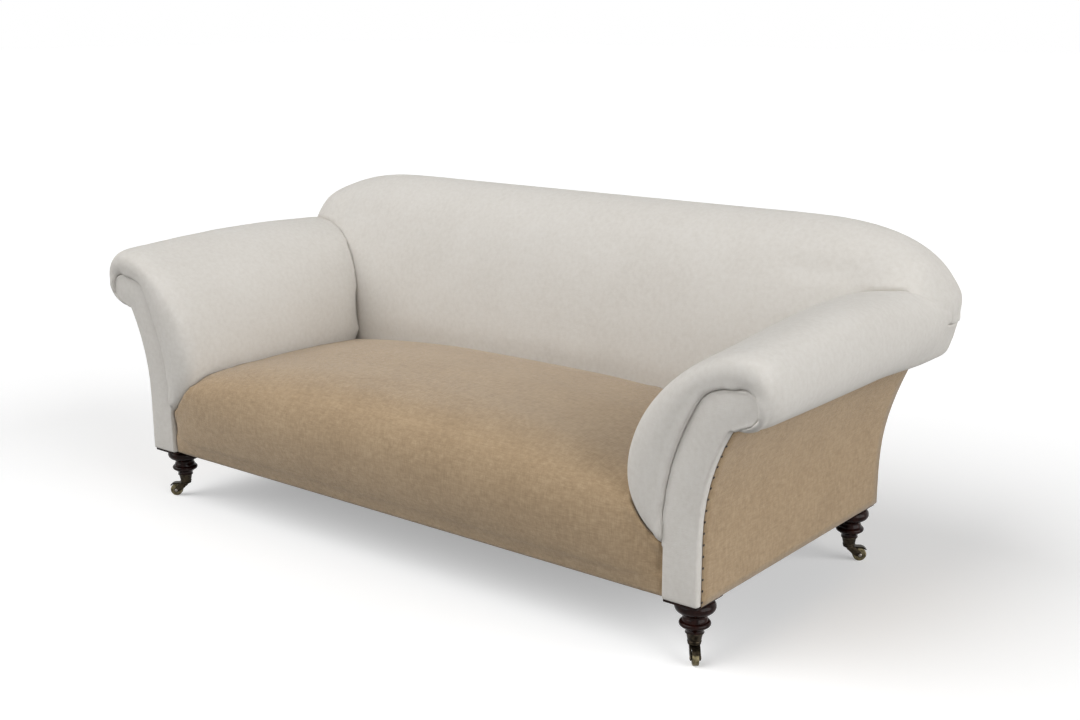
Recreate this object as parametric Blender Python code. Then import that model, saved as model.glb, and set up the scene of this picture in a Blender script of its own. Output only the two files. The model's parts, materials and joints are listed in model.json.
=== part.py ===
"""Scroll-arm chesterfield sofa in its calico and hessian under-covers, on turned legs with brass castors.

Run it with blender --background --python part.py, or from Blender's text editor.
Metres, +Z up. The front faces -Y, and the origin lies on the floor under the middle of the sofa.
Places from front to back are counted from the front plane of the arm frames, as y = 0 at the datum.
"""

import math

import bmesh
import bpy
from mathutils import Matrix, Vector

# Frame
FRAME_WIDTH = 1.710  # across the outer faces of the arms, low down
FRAME_DEPTH = 0.779  # front plane to the outside back, low down
HEM_HEIGHT = 0.1425  # floor to the lower edge of the covers
RAIL_HEIGHT = 0.090
RAIL_THICK = 0.032
STUMP_THICK = 0.078
REAR_STUMP_THICK = 0.050
UNDERSIDE = 0.004  # webbing and bottom cloth lie between the rails and the hem
CLEAR = 0.0005  # between pieces that rest on one another

# Scroll of the arm, as seen from the front
FACING_WIDTH = 0.083
FLARE_START = 0.285
FLARE_RADIUS = 0.461
FLARE_ANGLE = 30.0
EYE_OUT = 0.028  # eye of the scroll, from the tuck at the end of the flare
EYE_UP = 0.0505
EYE_RADIUS = 0.035
ROLL_IN = 0.009  # centre of the stuffed roll, from the eye
ROLL_UP = 0.026
ROLL_RADIUS = 0.077
ROLL_TURN = (-110, 105)  # degrees round the roll, from its underside to where the inside of the arm starts
ROLL_TURN_REAR = 92  # where that starts by the back
ROLL_STEPS = 13
ROLL_END = 0.050  # rounding of the roll's rear end
ARM_BULGE = 0.0975  # stuffing on the inside of the arm
BULGE_HEIGHT = 0.390
ARM_ROUND = (0.47, 0.69)  # roundness of the inside of the arm, at its front and by the back
FILL_SHARE = 0.75  # share of the arm's length over which the stuffing gets fuller
ARM_FOOT = 0.250  # lowest edge of the stuffing
ARM_CROWN = 0.020
ARM_PROUD = 0.024  # stuffing before the front plane
ARM_EDGE = 0.030  # rounding of its front edge
FACING_PROUD = 0.010
FACING_THICK = 0.0182
COVER_THICK = 0.0018

# Back
BACK_HEIGHT = 0.813
BACK_RAKE = 0.0505
RAKE_START = 0.220
RAKE_RISE = 0.260
BACK_ROLL = 0.082
TUCK_ANGLE = 170.0  # how far the stuffing turns round the top roll, down to the outside back
SEAT_DEPTH = 0.580  # front plane to the inside back
BACK_FALL = 0.450  # height over which the inside back turns into the top roll
BACK_FOOT = 0.240
BACK_SEATING = 0.044  # outside back to the rear of the stuffing, low down
BACK_LEAN = 0.017  # how much further back that lies at the top
BACK_CROWN = 0.012
LUMBAR = 0.008
FOOT_TUCK = 0.040
SHOULDER_LENGTH = 0.410
SHOULDER_CURVE = 2.7  # exponent of the shoulder's superellipse
SHOULDER_PROUD = 0.004  # past the roll of the arm
SHOULDER_THICK = 0.085  # stuffing before the roll line at the end of the shoulder
SHOULDER_FALL = 0.180
TOP_RAIL_HEIGHT = 0.066
TOP_RAIL_DROP = 0.222  # top of the rail under the top of the back
STAY_RAIL_HEIGHT = 0.045
STAY_RAIL_GAP = 0.018  # stay rail above the foot of the stuffing
UPRIGHT_WIDTH = 0.050
UPRIGHT_SPACING = 0.540

# Seat
SPRING_HEIGHT = 0.1800
SPRING_WIRE = 0.0036
SPRING_END_RADIUS = 0.045
SPRING_WAIST_RADIUS = 0.030
SPRING_TURNS = 4
SPRING_ROWS = 3
SPRING_COLUMNS = 5
SPRING_EDGE = 0.075  # spring centre to the edge of the spring hessian
LACING = 0.004
SEAT_SIDE = 0.022  # stuffing at the arms
SEAT_CROWN = 0.0785
SEAT_PROUD = 0.035
SEAT_NOSE_DEPTH = 0.090  # rounding of the front edge, in the middle and at the arms
SEAT_END_DEPTH = 0.050
SEAT_NOSE_DROP = 0.120
SEAT_END_DROP = 0.050
SEAT_NOSE_FALL = 0.006
SEAT_REAR = 0.62  # share of the stuffing's thickness that is left at the back
HEM_PROUD = 0.0035
BORDER_THICK = 0.015
WEB_WIDTH = 0.050
WEB_THICK = 0.0014

# Leg
BLOCK_INSET = 0.002  # inside the outer face of the arm
BLOCK_DROP = 0.0065  # visible below the hem
SPIGOT_RADIUS = 0.012
SPIGOT_LENGTH = 0.050
BULB_RADIUS = 0.043
BULB_HEIGHT = 0.032
NECK_RADIUS = 0.0245
NECK_HEIGHT = 0.014
RING_RADIUS = 0.033
RING_HEIGHT = 0.018
ANKLE_RADIUS = 0.0190

# Castor
WHEEL_RADIUS = 0.0165
WHEEL_WIDTH = 0.014
WHEEL_SIDES = 18
TRAIL = 0.026
AXLE_RADIUS = 0.0025
AXLE_HEAD = 0.0042
AXLE_HEAD_THICK = 0.0012
RUNNING = 0.00012  # round a turning pin
CHEEK_THICK = 0.0035
CHEEK_GAP = 0.0006
CHEEK_BOSS = 0.0062
PLATE_RADIUS = 0.0140
PLATE_THICK = 0.0040
PLATE_GAP = 0.0025  # above the wheel
SPINDLE_RADIUS = 0.0040
SPINDLE_LENGTH = 0.0160
CUP_HEIGHT = 0.0230
CUP_FOOT_RADIUS = 0.0145
CUP_WALL = 0.0022
CUP_FLOOR = 0.0035

# Rest direction of each castor in degrees: which way its wheel trails
CASTOR_TURNS = {"front_left": 218.0, "front_right": 308.0, "rear_left": 128.0, "rear_right": 38.0}

# Worked out from the sizes above
OUTER = FRAME_WIDTH / 2
INNER = OUTER - FACING_WIDTH
BLOCK_SIDE = FACING_WIDTH - BLOCK_INSET - 2 * CLEAR
RAIL_BOTTOM = HEM_HEIGHT + UNDERSIDE
RAIL_TOP = RAIL_BOTTOM + RAIL_HEIGHT
TUCK = Vector((
    OUTER + FLARE_RADIUS * (1 - math.cos(math.radians(FLARE_ANGLE))),
    FLARE_START + FLARE_RADIUS * math.sin(math.radians(FLARE_ANGLE)),
))
EYE = TUCK + Vector((EYE_OUT, EYE_UP))
ROLL = EYE + Vector((-ROLL_IN, ROLL_UP))
STUMP_FRONT = FACING_THICK - FACING_PROUD + CLEAR
STUMP_REAR = STUMP_FRONT + STUMP_THICK
FOOT_FRONT = FRAME_DEPTH - BLOCK_INSET - BLOCK_SIDE
REAR_STUMP_REAR = FOOT_FRONT - CLEAR
REAR_STUMP_FRONT = REAR_STUMP_REAR - REAR_STUMP_THICK
ROLL_LINE = FRAME_DEPTH + BACK_RAKE - BACK_ROLL * math.sin(math.radians(TUCK_ANGLE))
TUCK_DEPTH = BACK_ROLL * (1 - math.cos(math.radians(TUCK_ANGLE)))  # below the top of the back
SEATING_DEPTH = 1.12 * TUCK_DEPTH
SHOULDER_END = ROLL.x + ROLL_RADIUS + SHOULDER_PROUD
SHOULDER_START = SHOULDER_END - SHOULDER_LENGTH
TOP_RAIL_TOP = BACK_HEIGHT - TOP_RAIL_DROP
WEB_TOP = RAIL_BOTTOM - CLEAR
WEB_BOTTOM = WEB_TOP - WEB_THICK
SPRING_TOP = WEB_TOP + CLEAR + SPRING_HEIGHT
HESSIAN_BOTTOM = SPRING_TOP + CLEAR
SEAT_UNDER = HESSIAN_BOTTOM + WEB_THICK + CLEAR
AXLE_HEIGHT = WHEEL_RADIUS * math.cos(math.pi / WHEEL_SIDES)
PLATE_BOTTOM = AXLE_HEIGHT + WHEEL_RADIUS + PLATE_GAP
CUP_BOTTOM = PLATE_BOTTOM + PLATE_THICK + CLEAR
LEG_X = OUTER - BLOCK_INSET - BLOCK_SIDE / 2
FRONT_LEG_Y = STUMP_FRONT + BLOCK_INSET + BLOCK_SIDE / 2
REAR_LEG_Y = FRAME_DEPTH - BLOCK_INSET - BLOCK_SIDE / 2
MIDDLE = (ROLL_LINE + BACK_ROLL - SEAT_PROUD - HEM_PROUD) / 2


def material(name, colour, roughness, metallic=0.0):
    made = bpy.data.materials.new(name)
    made.use_nodes = True
    shader = made.node_tree.nodes["Principled BSDF"]
    shader.inputs["Base Color"].default_value = (*colour, 1.0)
    shader.inputs["Roughness"].default_value = roughness
    shader.inputs["Metallic"].default_value = metallic
    return made


def place(obj, parent, look):
    bpy.context.scene.collection.objects.link(obj)
    obj.parent = parent
    obj.data.materials.append(look)
    return obj


def piece(name, shape, parent, look, smooth=None):
    """A named object from a bmesh, with its faces turned outwards."""
    bmesh.ops.recalc_face_normals(shape, faces=shape.faces)
    if shape.calc_volume(signed=True) < 0:
        bmesh.ops.reverse_faces(shape, faces=shape.faces)
    mesh = bpy.data.meshes.new(name)
    shape.to_mesh(mesh)
    shape.free()
    if smooth is not None:
        mesh.shade_smooth()
        mesh.set_sharp_from_angle(angle=math.radians(smooth))
    return place(bpy.data.objects.new(name, mesh), parent, look)


def hide(obj):
    """A cutter or a guide, which isn't a piece of the sofa."""
    obj.hide_render = True
    obj.display_type = "WIRE"
    return obj


def combine(obj, other, operation):
    step = obj.modifiers.new(f"{operation.lower()} {other.name}", "BOOLEAN")
    step.operation = operation
    step.object = hide(other)
    step.solver = "EXACT"


def empty(name, parent, location, turn=0.0):
    made = bpy.data.objects.new(name, None)
    bpy.context.scene.collection.objects.link(made)
    made.parent = parent
    made.location = location
    made.rotation_euler.z = math.radians(turn)
    return made


def arc(centre, radius, start, end, steps):
    """Points on a circle, from start to end in degrees."""
    angles = [math.radians(start + (end - start) * i / steps) for i in range(steps + 1)]
    return [Vector((centre[0] + radius * math.cos(a), centre[1] + radius * math.sin(a))) for a in angles]


def bezier(a, b, c, d, steps):
    a, b, c, d = (Vector(p) for p in (a, b, c, d))
    shares = [i / steps for i in range(steps + 1)]
    return [(1 - t) ** 3 * a + 3 * t * (1 - t) ** 2 * b + 3 * t * t * (1 - t) * c + t**3 * d for t in shares]


def offset(outline, distance):
    """An anticlockwise outline moved outwards."""
    moved = []
    for before, here, after in zip(outline[-1:] + outline[:-1], outline, outline[1:] + outline[:1]):
        come = (here - before).normalized()
        leave = (after - here).normalized()
        first = Vector((come.y, -come.x))
        second = Vector((leave.y, -leave.x))
        moved.append(here + (first + second) * (distance / (1 + first.dot(second))))
    return moved


def mix(a, b, share):
    return a + (b - a) * share


def smoothstep(share):
    share = min(max(share, 0.0), 1.0)
    return share * share * (3 - 2 * share)


def loft(rings):
    """A closed skin over rings of equally many points, with a flat face at each end."""
    shape = bmesh.new()
    rows = [[shape.verts.new(point) for point in ring] for ring in rings]
    for row, after in zip(rows, rows[1:]):
        for i in range(len(row)):
            k = (i + 1) % len(row)
            shape.faces.new((row[i], row[k], after[k], after[i]))
    bmesh.ops.triangulate(shape, faces=shape.faces[:], quad_method="FIXED")
    shape.faces.new(rows[0])
    shape.faces.new(rows[-1])
    return shape


def shell(near, far):
    """A thin sheet between two grids of points."""
    shape = bmesh.new()
    layers = [[[shape.verts.new(point) for point in row] for row in grid] for grid in (near, far)]
    last_row, last = len(near) - 1, len(near[0]) - 1
    for layer in layers:
        for i in range(last_row):
            for k in range(last):
                shape.faces.new((layer[i][k], layer[i][k + 1], layer[i + 1][k + 1], layer[i + 1][k]))
    border = [(0, k) for k in range(last)] + [(i, last) for i in range(last_row)]
    border += [(last_row, k) for k in range(last, 0, -1)] + [(i, 0) for i in range(last_row, 0, -1)]
    for (i, k), (m, n) in zip(border, border[1:] + border[:1]):
        shape.faces.new((layers[0][i][k], layers[0][m][n], layers[1][m][n], layers[1][i][k]))
    return shape


def prism(outline, to_point, start, end):
    """An outline drawn along an axis, from start to end."""
    shape = bmesh.new()
    face = shape.faces.new([shape.verts.new(to_point(p, start)) for p in outline])
    grown = bmesh.ops.extrude_face_region(shape, geom=[face])["geom"]
    far = [item for item in grown if isinstance(item, bmesh.types.BMVert)]
    bmesh.ops.translate(shape, verts=far, vec=to_point(outline[0], end) - to_point(outline[0], start))
    return shape


def across(side):
    """Places (x, z) of the right arm's outlines, at a depth y, on either side."""
    return lambda p, y: Vector((side * p[0], y, p[1]))


def lengthwise(p, x):
    """Places (y, z) of an end outline, at x."""
    return Vector((x, p[0], p[1]))


def upright(p, z):
    return Vector((p[0], p[1], z))


def board(low, high):
    shape = bmesh.new()
    size = [b - a for a, b in zip(low, high)]
    centre = [(a + b) / 2 for a, b in zip(low, high)]
    bmesh.ops.create_cube(shape, size=1.0, matrix=Matrix.Translation(centre) @ Matrix.Diagonal((*size, 1.0)))
    return shape


def gather(shapes):
    """Several closed forms that stay apart, in one bmesh."""
    joined = bmesh.new()
    for shape in shapes:
        bmesh.ops.recalc_face_normals(shape, faces=shape.faces)
        mesh = bpy.data.meshes.new("form")
        shape.to_mesh(mesh)
        shape.free()
        joined.from_mesh(mesh)
        bpy.data.meshes.remove(mesh)
    return joined


def turned(profile, sides, closed=False, start=0.0):
    """A profile of (radius, height) turned about the Z axis."""
    shape = bmesh.new()
    points = [shape.verts.new((r * math.cos(start), r * math.sin(start), z)) for r, z in profile]
    pairs = list(zip(points, points[1:]))
    if closed:
        pairs.append((points[-1], points[0]))
    edges = [shape.edges.new(pair) for pair in pairs]
    bmesh.ops.spin(
        shape, geom=points + edges, cent=(0, 0, 0), axis=(0, 0, 1),
        angle=2 * math.pi, steps=sides, use_merge=True,
    )
    bmesh.ops.remove_doubles(shape, verts=shape.verts, dist=1e-6)
    return shape


def outside_back(z):
    """Depth of the outside back at a height: it rakes back in a gentle ogee."""
    return FRAME_DEPTH + BACK_RAKE * smoothstep((z - RAKE_START) / RAKE_RISE)


def back_seating(z):
    """Depth of the rear of the back's stuffing at a height."""
    high = BACK_HEIGHT - BACK_FOOT
    return FRAME_DEPTH - BACK_SEATING + BACK_LEAN * (z - BACK_FOOT) / high


def flare(offset_in, start, end, steps):
    """Part of the arm's flared edge, offset_in inside the outer face, by its angle."""
    centre = (OUTER + FLARE_RADIUS, FLARE_START)
    return arc(centre, FLARE_RADIUS + offset_in, 180 - start, 180 - end, steps)


def scroll_head():
    """The scroll's end, from its underside round the eye to where it joins the band."""
    eye = arc(EYE, EYE_RADIUS, -75, 100, 8)
    top, joint = eye[-1], flare(FACING_WIDTH, FLARE_ANGLE, FLARE_ANGLE, 1)[0]
    along = Vector((math.sin(math.radians(FLARE_ANGLE)), math.cos(math.radians(FLARE_ANGLE))))
    reach = (top - joint).length * 0.4
    return eye + bezier(top, top - Vector((reach, 0.1 * reach)), joint + along * reach, joint, 5)[1:-1]


def scroll_outline(bottom):
    """The comma shape of the arm's front, anticlockwise seen from the front on the right arm."""
    foot = [Vector((INNER, bottom)), Vector((OUTER, bottom))]
    outer = flare(0.0, 0, FLARE_ANGLE, 6)
    inner = flare(FACING_WIDTH, FLARE_ANGLE, 0, 6)
    return foot + outer + scroll_head() + inner


def arm_section(crown=0.0, fill=0.0):
    """The stuffed arm's outline. Its far side runs inside the scroll, which is cut out of it."""
    foot = Vector((INNER + 0.12 * FACING_WIDTH, ARM_FOOT))
    widest = Vector((INNER - ARM_BULGE, BULGE_HEIGHT))
    last = mix(ROLL_TURN[1], ROLL_TURN_REAR, fill)
    roll = arc(ROLL, ROLL_RADIUS, ROLL_TURN[0], last, ROLL_STEPS)
    reach = mix(*ARM_ROUND, fill) * (roll[-1].y - widest.y)
    away = Vector((-math.sin(math.radians(last)), math.cos(math.radians(last))))
    shoulder = bezier(roll[-1], roll[-1] + away * reach, widest + Vector((0, reach)), widest, 8)
    drop = widest.y - foot.y
    turn_in = foot - Vector((0.5 * ARM_BULGE, -0.08 * drop))
    belly = bezier(widest, widest - Vector((0, 0.5 * drop)), turn_in, foot, 5)
    core = flare(FACING_WIDTH / 2, 2, FLARE_ANGLE, 5)
    outline = roll + shoulder[1:] + belly[1:] + core
    lift = [crown * smoothstep((p.y - ROLL.y) / ROLL_RADIUS) for p in outline]
    return [p + Vector((0, up)) for p, up in zip(outline, lift)]


def roll_end():
    """The outline of the roll's rear end: a circle with as many points as the arm's section."""
    inner = len(arm_section()) - ROLL_STEPS
    return arc(ROLL, ROLL_RADIUS, *ROLL_TURN, ROLL_STEPS) + arc(ROLL, ROLL_RADIUS, ROLL_TURN[1], 250, inner)[1:-1]


def arm_form(side, grow=0.0):
    """The arm's stuffing from its rounded front edge to its rounded rear end."""
    rear = ROLL_LINE + 0.75 * BACK_ROLL
    full = rear - ROLL_END
    rings = []
    for turn in (15, 40, 65, 90):
        inset = ARM_EDGE * (1 - math.sin(math.radians(turn)))
        y = -ARM_PROUD - grow + ARM_EDGE * (1 - math.cos(math.radians(turn)))
        rings.append([across(side)(p, y) for p in offset(arm_section(), grow - inset)])
    first = ARM_EDGE - ARM_PROUD
    for share in (0.18, 0.38, 0.58, 0.76, 0.9):
        section = arm_section(ARM_CROWN * math.sin(math.pi * share), smoothstep(share / FILL_SHARE))
        rings.append([across(side)(p, mix(first, full, share)) for p in offset(section, grow)])
    for turn in (0, 25, 45, 65, 82):
        size = math.cos(math.radians(turn))
        y = full + ROLL_END * math.sin(math.radians(turn))
        rings.append([across(side)(ROLL + (p - ROLL) * size, y) for p in offset(roll_end(), grow)])
    return loft(rings)


def back_stations():
    """Places along the right half of the back's outline: top point, foot point and fullness."""
    low = SHOULDER_START
    middle = [low * i / 4 for i in range(4)]
    stations = [(Vector((x, BACK_HEIGHT)), Vector((x, BACK_FOOT)), 1.0) for x in middle]
    for i in range(10):
        angle = math.radians(90 * i / 9)
        sine = abs(math.sin(angle)) ** (2 / SHOULDER_CURVE)
        cosine = abs(math.cos(angle)) ** (2 / SHOULDER_CURVE) if i < 9 else 0.0
        top = Vector((low + SHOULDER_LENGTH * sine, mix(EYE.y, BACK_HEIGHT, cosine)))
        foot = Vector((mix(low, LEG_X, i / 9), BACK_FOOT))
        stations.append((top, foot, max(math.cos(angle), 0.0)))
    return stations


def height_below_top(x, depth):
    """Height of the line that runs depth below the top of the back, at a distance from the middle."""
    line = [top + (foot - top).normalized() * depth for top, foot, _ in back_stations()]
    for a, b in zip(line, line[1:]):
        if b.x >= x:
            return mix(a.y, b.y, (x - a.x) / (b.x - a.x))
    return line[-1].y


def back_ring(side, top, foot, fullness, grow):
    """One closed ring of the back's stuffing, in the plane through its top and foot points."""
    length = (foot - top).length
    along = (foot - top) / length
    depth = mix(SHOULDER_THICK, ROLL_LINE - SEAT_DEPTH, fullness**0.8)
    depth += grow + BACK_CROWN * max(1 - (top.x / SHOULDER_START) ** 2, 0.0)
    fall = mix(SHOULDER_FALL, BACK_FALL, fullness)
    face = ROLL_LINE - depth
    rest = length - fall
    points = [
        (length, face + FOOT_TUCK * fullness),
        (fall + 0.72 * rest, face + 0.1 * FOOT_TUCK * fullness),
        (fall + 0.36 * rest, face - LUMBAR * fullness),
    ]
    for i in range(8):
        angle = math.radians(90 * i / 8)
        points.append((fall - (fall + grow) * math.sin(angle), ROLL_LINE - depth * math.cos(angle)))
    roll = BACK_ROLL + grow
    for i in range(11):
        angle = math.radians(TUCK_ANGLE * i / 10)
        points.append((BACK_ROLL - roll * math.cos(angle), ROLL_LINE + roll * math.sin(angle)))
    for distance in (SEATING_DEPTH, length):
        seated = back_seating(top.y + along.y * distance)
        points.append((distance, max(seated, face + 0.5 * SHOULDER_THICK)))
    return [Vector((side * (top.x + along.x * d), y, top.y + along.y * d)) for d, y in points]


def back_form(grow=0.0):
    half = back_stations()
    rings = [back_ring(-1, *station, grow) for station in half[:0:-1]]
    rings += [back_ring(1, *station, grow) for station in half]
    return loft(rings)


def seat_ring(x, half):
    """One closed ring of the seat: its border over the front rail and its crowned top."""
    share = abs(x) / half
    proud = SEAT_PROUD * math.sqrt(max(1 - share**4, 0.0))
    top = SEAT_UNDER + SEAT_SIDE + SEAT_CROWN * (1 - share**2.5)
    nose = top - mix(SEAT_NOSE_DROP, SEAT_END_DROP, share**2)
    depth = mix(SEAT_NOSE_DEPTH, SEAT_END_DEPTH, share**2)
    points = [
        (-HEM_PROUD, HEM_HEIGHT),
        (-HEM_PROUD - 0.45 * proud, mix(HEM_HEIGHT, nose, 0.3)),
        (-HEM_PROUD - 0.86 * proud, mix(HEM_HEIGHT, nose, 0.65)),
    ]
    for i in range(7):
        angle = math.radians(90 * i / 6)
        y = depth - (depth + HEM_PROUD + proud) * math.cos(angle)
        points.append((y, mix(nose, top - SEAT_NOSE_FALL, math.sin(angle))))
    rear = SEAT_DEPTH + FOOT_TUCK
    behind = mix(SEAT_UNDER, top, SEAT_REAR)
    points += [
        (mix(SEAT_NOSE_DEPTH, rear, 0.4), top),
        (mix(SEAT_NOSE_DEPTH, rear, 0.72), mix(top, behind, 0.3)),
        (rear, behind),
        (rear, SEAT_UNDER),
        (BORDER_THICK - HEM_PROUD, SEAT_UNDER),
        (BORDER_THICK - HEM_PROUD, HEM_HEIGHT),
    ]
    return [lengthwise(p, x) for p in points]


def seat_form():
    half = INNER - CLEAR
    turns = [90 * i / 9 for i in range(-9, 10)]
    return loft([seat_ring(half * math.sin(math.radians(turn)), half) for turn in turns])


def spring_coil(x, y):
    """The points of one waisted coil spring, which stands on the webbing."""
    count = SPRING_TURNS * 6
    low = WEB_TOP + CLEAR + SPRING_WIRE / 2
    high = SPRING_TOP - SPRING_WIRE / 2
    points = []
    for i in range(count + 1):
        share = i / count
        waist = (2 * share - 1) ** 2
        radius = mix(SPRING_WAIST_RADIUS, SPRING_END_RADIUS, waist)
        angle = 2 * math.pi * SPRING_TURNS * share
        level = mix(low, high, smoothstep(share))
        points.append((x + radius * math.cos(angle), y + radius * math.sin(angle), level))
    return points


def wire_mesh(runs, thickness):
    """Four-sided wires with filled ends along several runs of points."""
    curve = bpy.data.curves.new("wire", "CURVE")
    curve.dimensions = "3D"
    curve.bevel_depth = thickness / 2
    curve.bevel_resolution = 0
    curve.use_fill_caps = True
    for run in runs:
        spline = curve.splines.new("POLY")
        spline.points.add(len(run) - 1)
        for point, place_at in zip(spline.points, run):
            point.co = (*place_at, 1.0)
    holder = bpy.data.objects.new("wire", curve)
    mesh = bpy.data.meshes.new_from_object(holder)
    bpy.data.objects.remove(holder)
    bpy.data.curves.remove(curve)
    shape = bmesh.new()
    shape.from_mesh(mesh)
    bmesh.ops.remove_doubles(shape, verts=shape.verts, dist=1e-6)
    bpy.data.meshes.remove(mesh)
    return shape


def build_frame(datum, beech):
    """Beech frame: rails, shaped stumps and raked back posts."""
    inside = INNER - CLEAR
    rail_front = BORDER_THICK - HEM_PROUD + CLEAR
    front = board((-inside, rail_front, RAIL_BOTTOM), (inside, rail_front + RAIL_THICK, RAIL_TOP))
    piece("front_seat_rail", front, datum, beech)
    rail_rear = outside_back(RAIL_BOTTOM)
    rear = board((-inside, rail_rear - RAIL_THICK, RAIL_BOTTOM), (inside, rail_rear, BACK_FOOT - 2 * CLEAR))
    piece("back_seat_rail", rear, datum, beech)
    head = scroll_outline(RAIL_BOTTOM)
    shape_in = offset(head, -CLEAR)
    for side, hand in ((-1, "left"), (1, "right")):
        to_point = across(side)
        stump = prism(shape_in, to_point, STUMP_FRONT, STUMP_REAR)
        front = piece(f"{hand}_front_stump", stump, datum, beech)
        bore = spigot_bore(f"{hand}_front_bore", datum, side * LEG_X, FRONT_LEG_Y, beech)
        combine(front, bore, "DIFFERENCE")
        stump = prism(shape_in, to_point, REAR_STUMP_FRONT, REAR_STUMP_REAR)
        piece(f"{hand}_rear_stump", stump, datum, beech)
        span = (STUMP_REAR + CLEAR, REAR_STUMP_FRONT - CLEAR)
        build_arm_rails(hand, to_point, span, datum, beech)
        build_back_post(hand, side, datum, beech)
        outer = OUTER - 2 * CLEAR
        rail = board((outer - RAIL_THICK, span[0], RAIL_BOTTOM), (outer, span[1], RAIL_TOP))
        bmesh.ops.scale(rail, verts=rail.verts, vec=(side, 1, 1))
        piece(f"{hand}_seat_rail", rail, datum, beech)
    build_back_rails(inside, datum, beech)


def spigot_bore(name, datum, x, y, look):
    """The hole in the frame that takes a leg's spigot."""
    radius = SPIGOT_RADIUS + CLEAR
    end = SPIGOT_LENGTH + CLEAR
    profile = [(0, -UNDERSIDE), (radius, -UNDERSIDE), (radius, end), (0, end)]
    bore = piece(name, turned(profile, 16), datum, look)
    bore.location = (x, y, RAIL_BOTTOM)
    return bore


def build_arm_rails(hand, to_point, span, datum, beech):
    """The shaped rail in the scroll's head and the stay rail that the arm's stuffing is tacked to."""
    inward = 2 * CLEAR + WEB_THICK
    head = offset([flare(0.0, FLARE_ANGLE, FLARE_ANGLE, 1)[0]] + scroll_head(), -inward)
    piece(f"{hand}_arm_rail", prism(head, to_point, *span), datum, beech)
    low = ARM_FOOT + STAY_RAIL_GAP
    high = low + STAY_RAIL_HEIGHT
    near = INNER + inward + FLARE_RADIUS - math.sqrt(FLARE_RADIUS**2 - max(high - FLARE_START, 0.0) ** 2)
    stay = [Vector((near, low)), Vector((near + 0.6 * RAIL_THICK, low))]
    stay += [Vector((near + 0.6 * RAIL_THICK, high)), Vector((near, high))]
    piece(f"{hand}_arm_stay_rail", prism(stay, to_point, *span), datum, beech)


def back_side_outline(low, high, front_gap):
    """Side outline of an upright member of the back, between two heights."""
    levels = [mix(low, high, i / 6) for i in range(7)]
    rear = [Vector((outside_back(z) - 2 * COVER_THICK, z)) for z in levels]
    front = [Vector((back_seating(z) + front_gap, z)) for z in reversed(levels)]
    return rear + front


def build_back_post(hand, side, datum, beech):
    """The raked post at each end of the back, on a heavier foot over the rear leg."""
    gap = 2 * CLEAR + WEB_THICK
    heel = [Vector((FOOT_FRONT, BACK_FOOT - 2 * CLEAR)), Vector((FOOT_FRONT, RAIL_BOTTOM))]
    heel.append(Vector((outside_back(RAIL_BOTTOM) - 2 * COVER_THICK, RAIL_BOTTOM)))
    top = height_below_top(OUTER, SEATING_DEPTH) - 2 * CLEAR
    outline = heel + back_side_outline(BACK_FOOT - 2 * CLEAR, top, gap)
    shape = prism(outline, lengthwise, side * (INNER + CLEAR), side * (OUTER - 2 * COVER_THICK))
    post = piece(f"{hand}_back_post", shape, datum, beech)
    combine(post, spigot_bore(f"{hand}_rear_bore", datum, side * LEG_X, REAR_LEG_Y, beech), "DIFFERENCE")


def build_back_rails(inside, datum, beech):
    """Top rail, stay rail and two uprights of the back."""
    gap = 2 * CLEAR + WEB_THICK
    rail_low = TOP_RAIL_TOP - TOP_RAIL_HEIGHT
    top = back_side_outline(rail_low, TOP_RAIL_TOP, gap)
    piece("top_back_rail", prism(top, lengthwise, -inside, inside), datum, beech)
    low = BACK_FOOT + STAY_RAIL_GAP
    high = low + STAY_RAIL_HEIGHT
    thin = 0.5 * RAIL_THICK
    stay = leaning_strip(low, high, gap, thin)
    piece("back_stay_rail", prism(stay, lengthwise, -inside, inside), datum, beech)
    outline = back_side_outline(BACK_FOOT - CLEAR, rail_low - CLEAR, gap + thin + CLEAR)
    for side, hand in ((-1, "left"), (1, "right")):
        centre = side * UPRIGHT_SPACING / 2
        shape = prism(outline, lengthwise, centre - UPRIGHT_WIDTH / 2, centre + UPRIGHT_WIDTH / 2)
        piece(f"{hand}_back_upright", shape, datum, beech)


def leaning_strip(low, high, gap, thickness):
    """Side outline of a strip behind the stuffing of the back, between two heights."""
    near, far = back_seating(low) + gap, back_seating(high) + gap
    lower = [Vector((near, low)), Vector((near + thickness, low))]
    return lower + [Vector((far + thickness, high)), Vector((far, high))]


def strap_places(low, high, count):
    return [mix(low, high, (i + 0.5) / count) for i in range(count)]


def build_webbing(datum, jute):
    """Interlaced webbing under the seat and behind the stuffing of the arms and the back."""
    inside = INNER - CLEAR
    half = WEB_WIDTH / 2
    front = BORDER_THICK - HEM_PROUD + 2 * CLEAR
    rear = outside_back(RAIL_BOTTOM) - 2 * COVER_THICK - CLEAR
    long_straps = [
        ((-inside, y - half, WEB_BOTTOM), (inside, y + half, WEB_TOP)) for y in spring_rows()
    ]
    cross_straps = [
        ((x - half, front, WEB_BOTTOM), (x + half, rear, WEB_TOP)) for x in spring_columns()
    ]
    seat = piece("seat_webbing", gather(board(*ends) for ends in long_straps), datum, jute)
    crossing = piece("seat_cross_straps", gather(board(*ends) for ends in cross_straps), datum, jute)
    combine(seat, crossing, "UNION")
    build_back_webbing(datum, jute)
    for side, hand in ((-1, "left"), (1, "right")):
        build_arm_webbing(hand, side, datum, jute)


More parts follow.
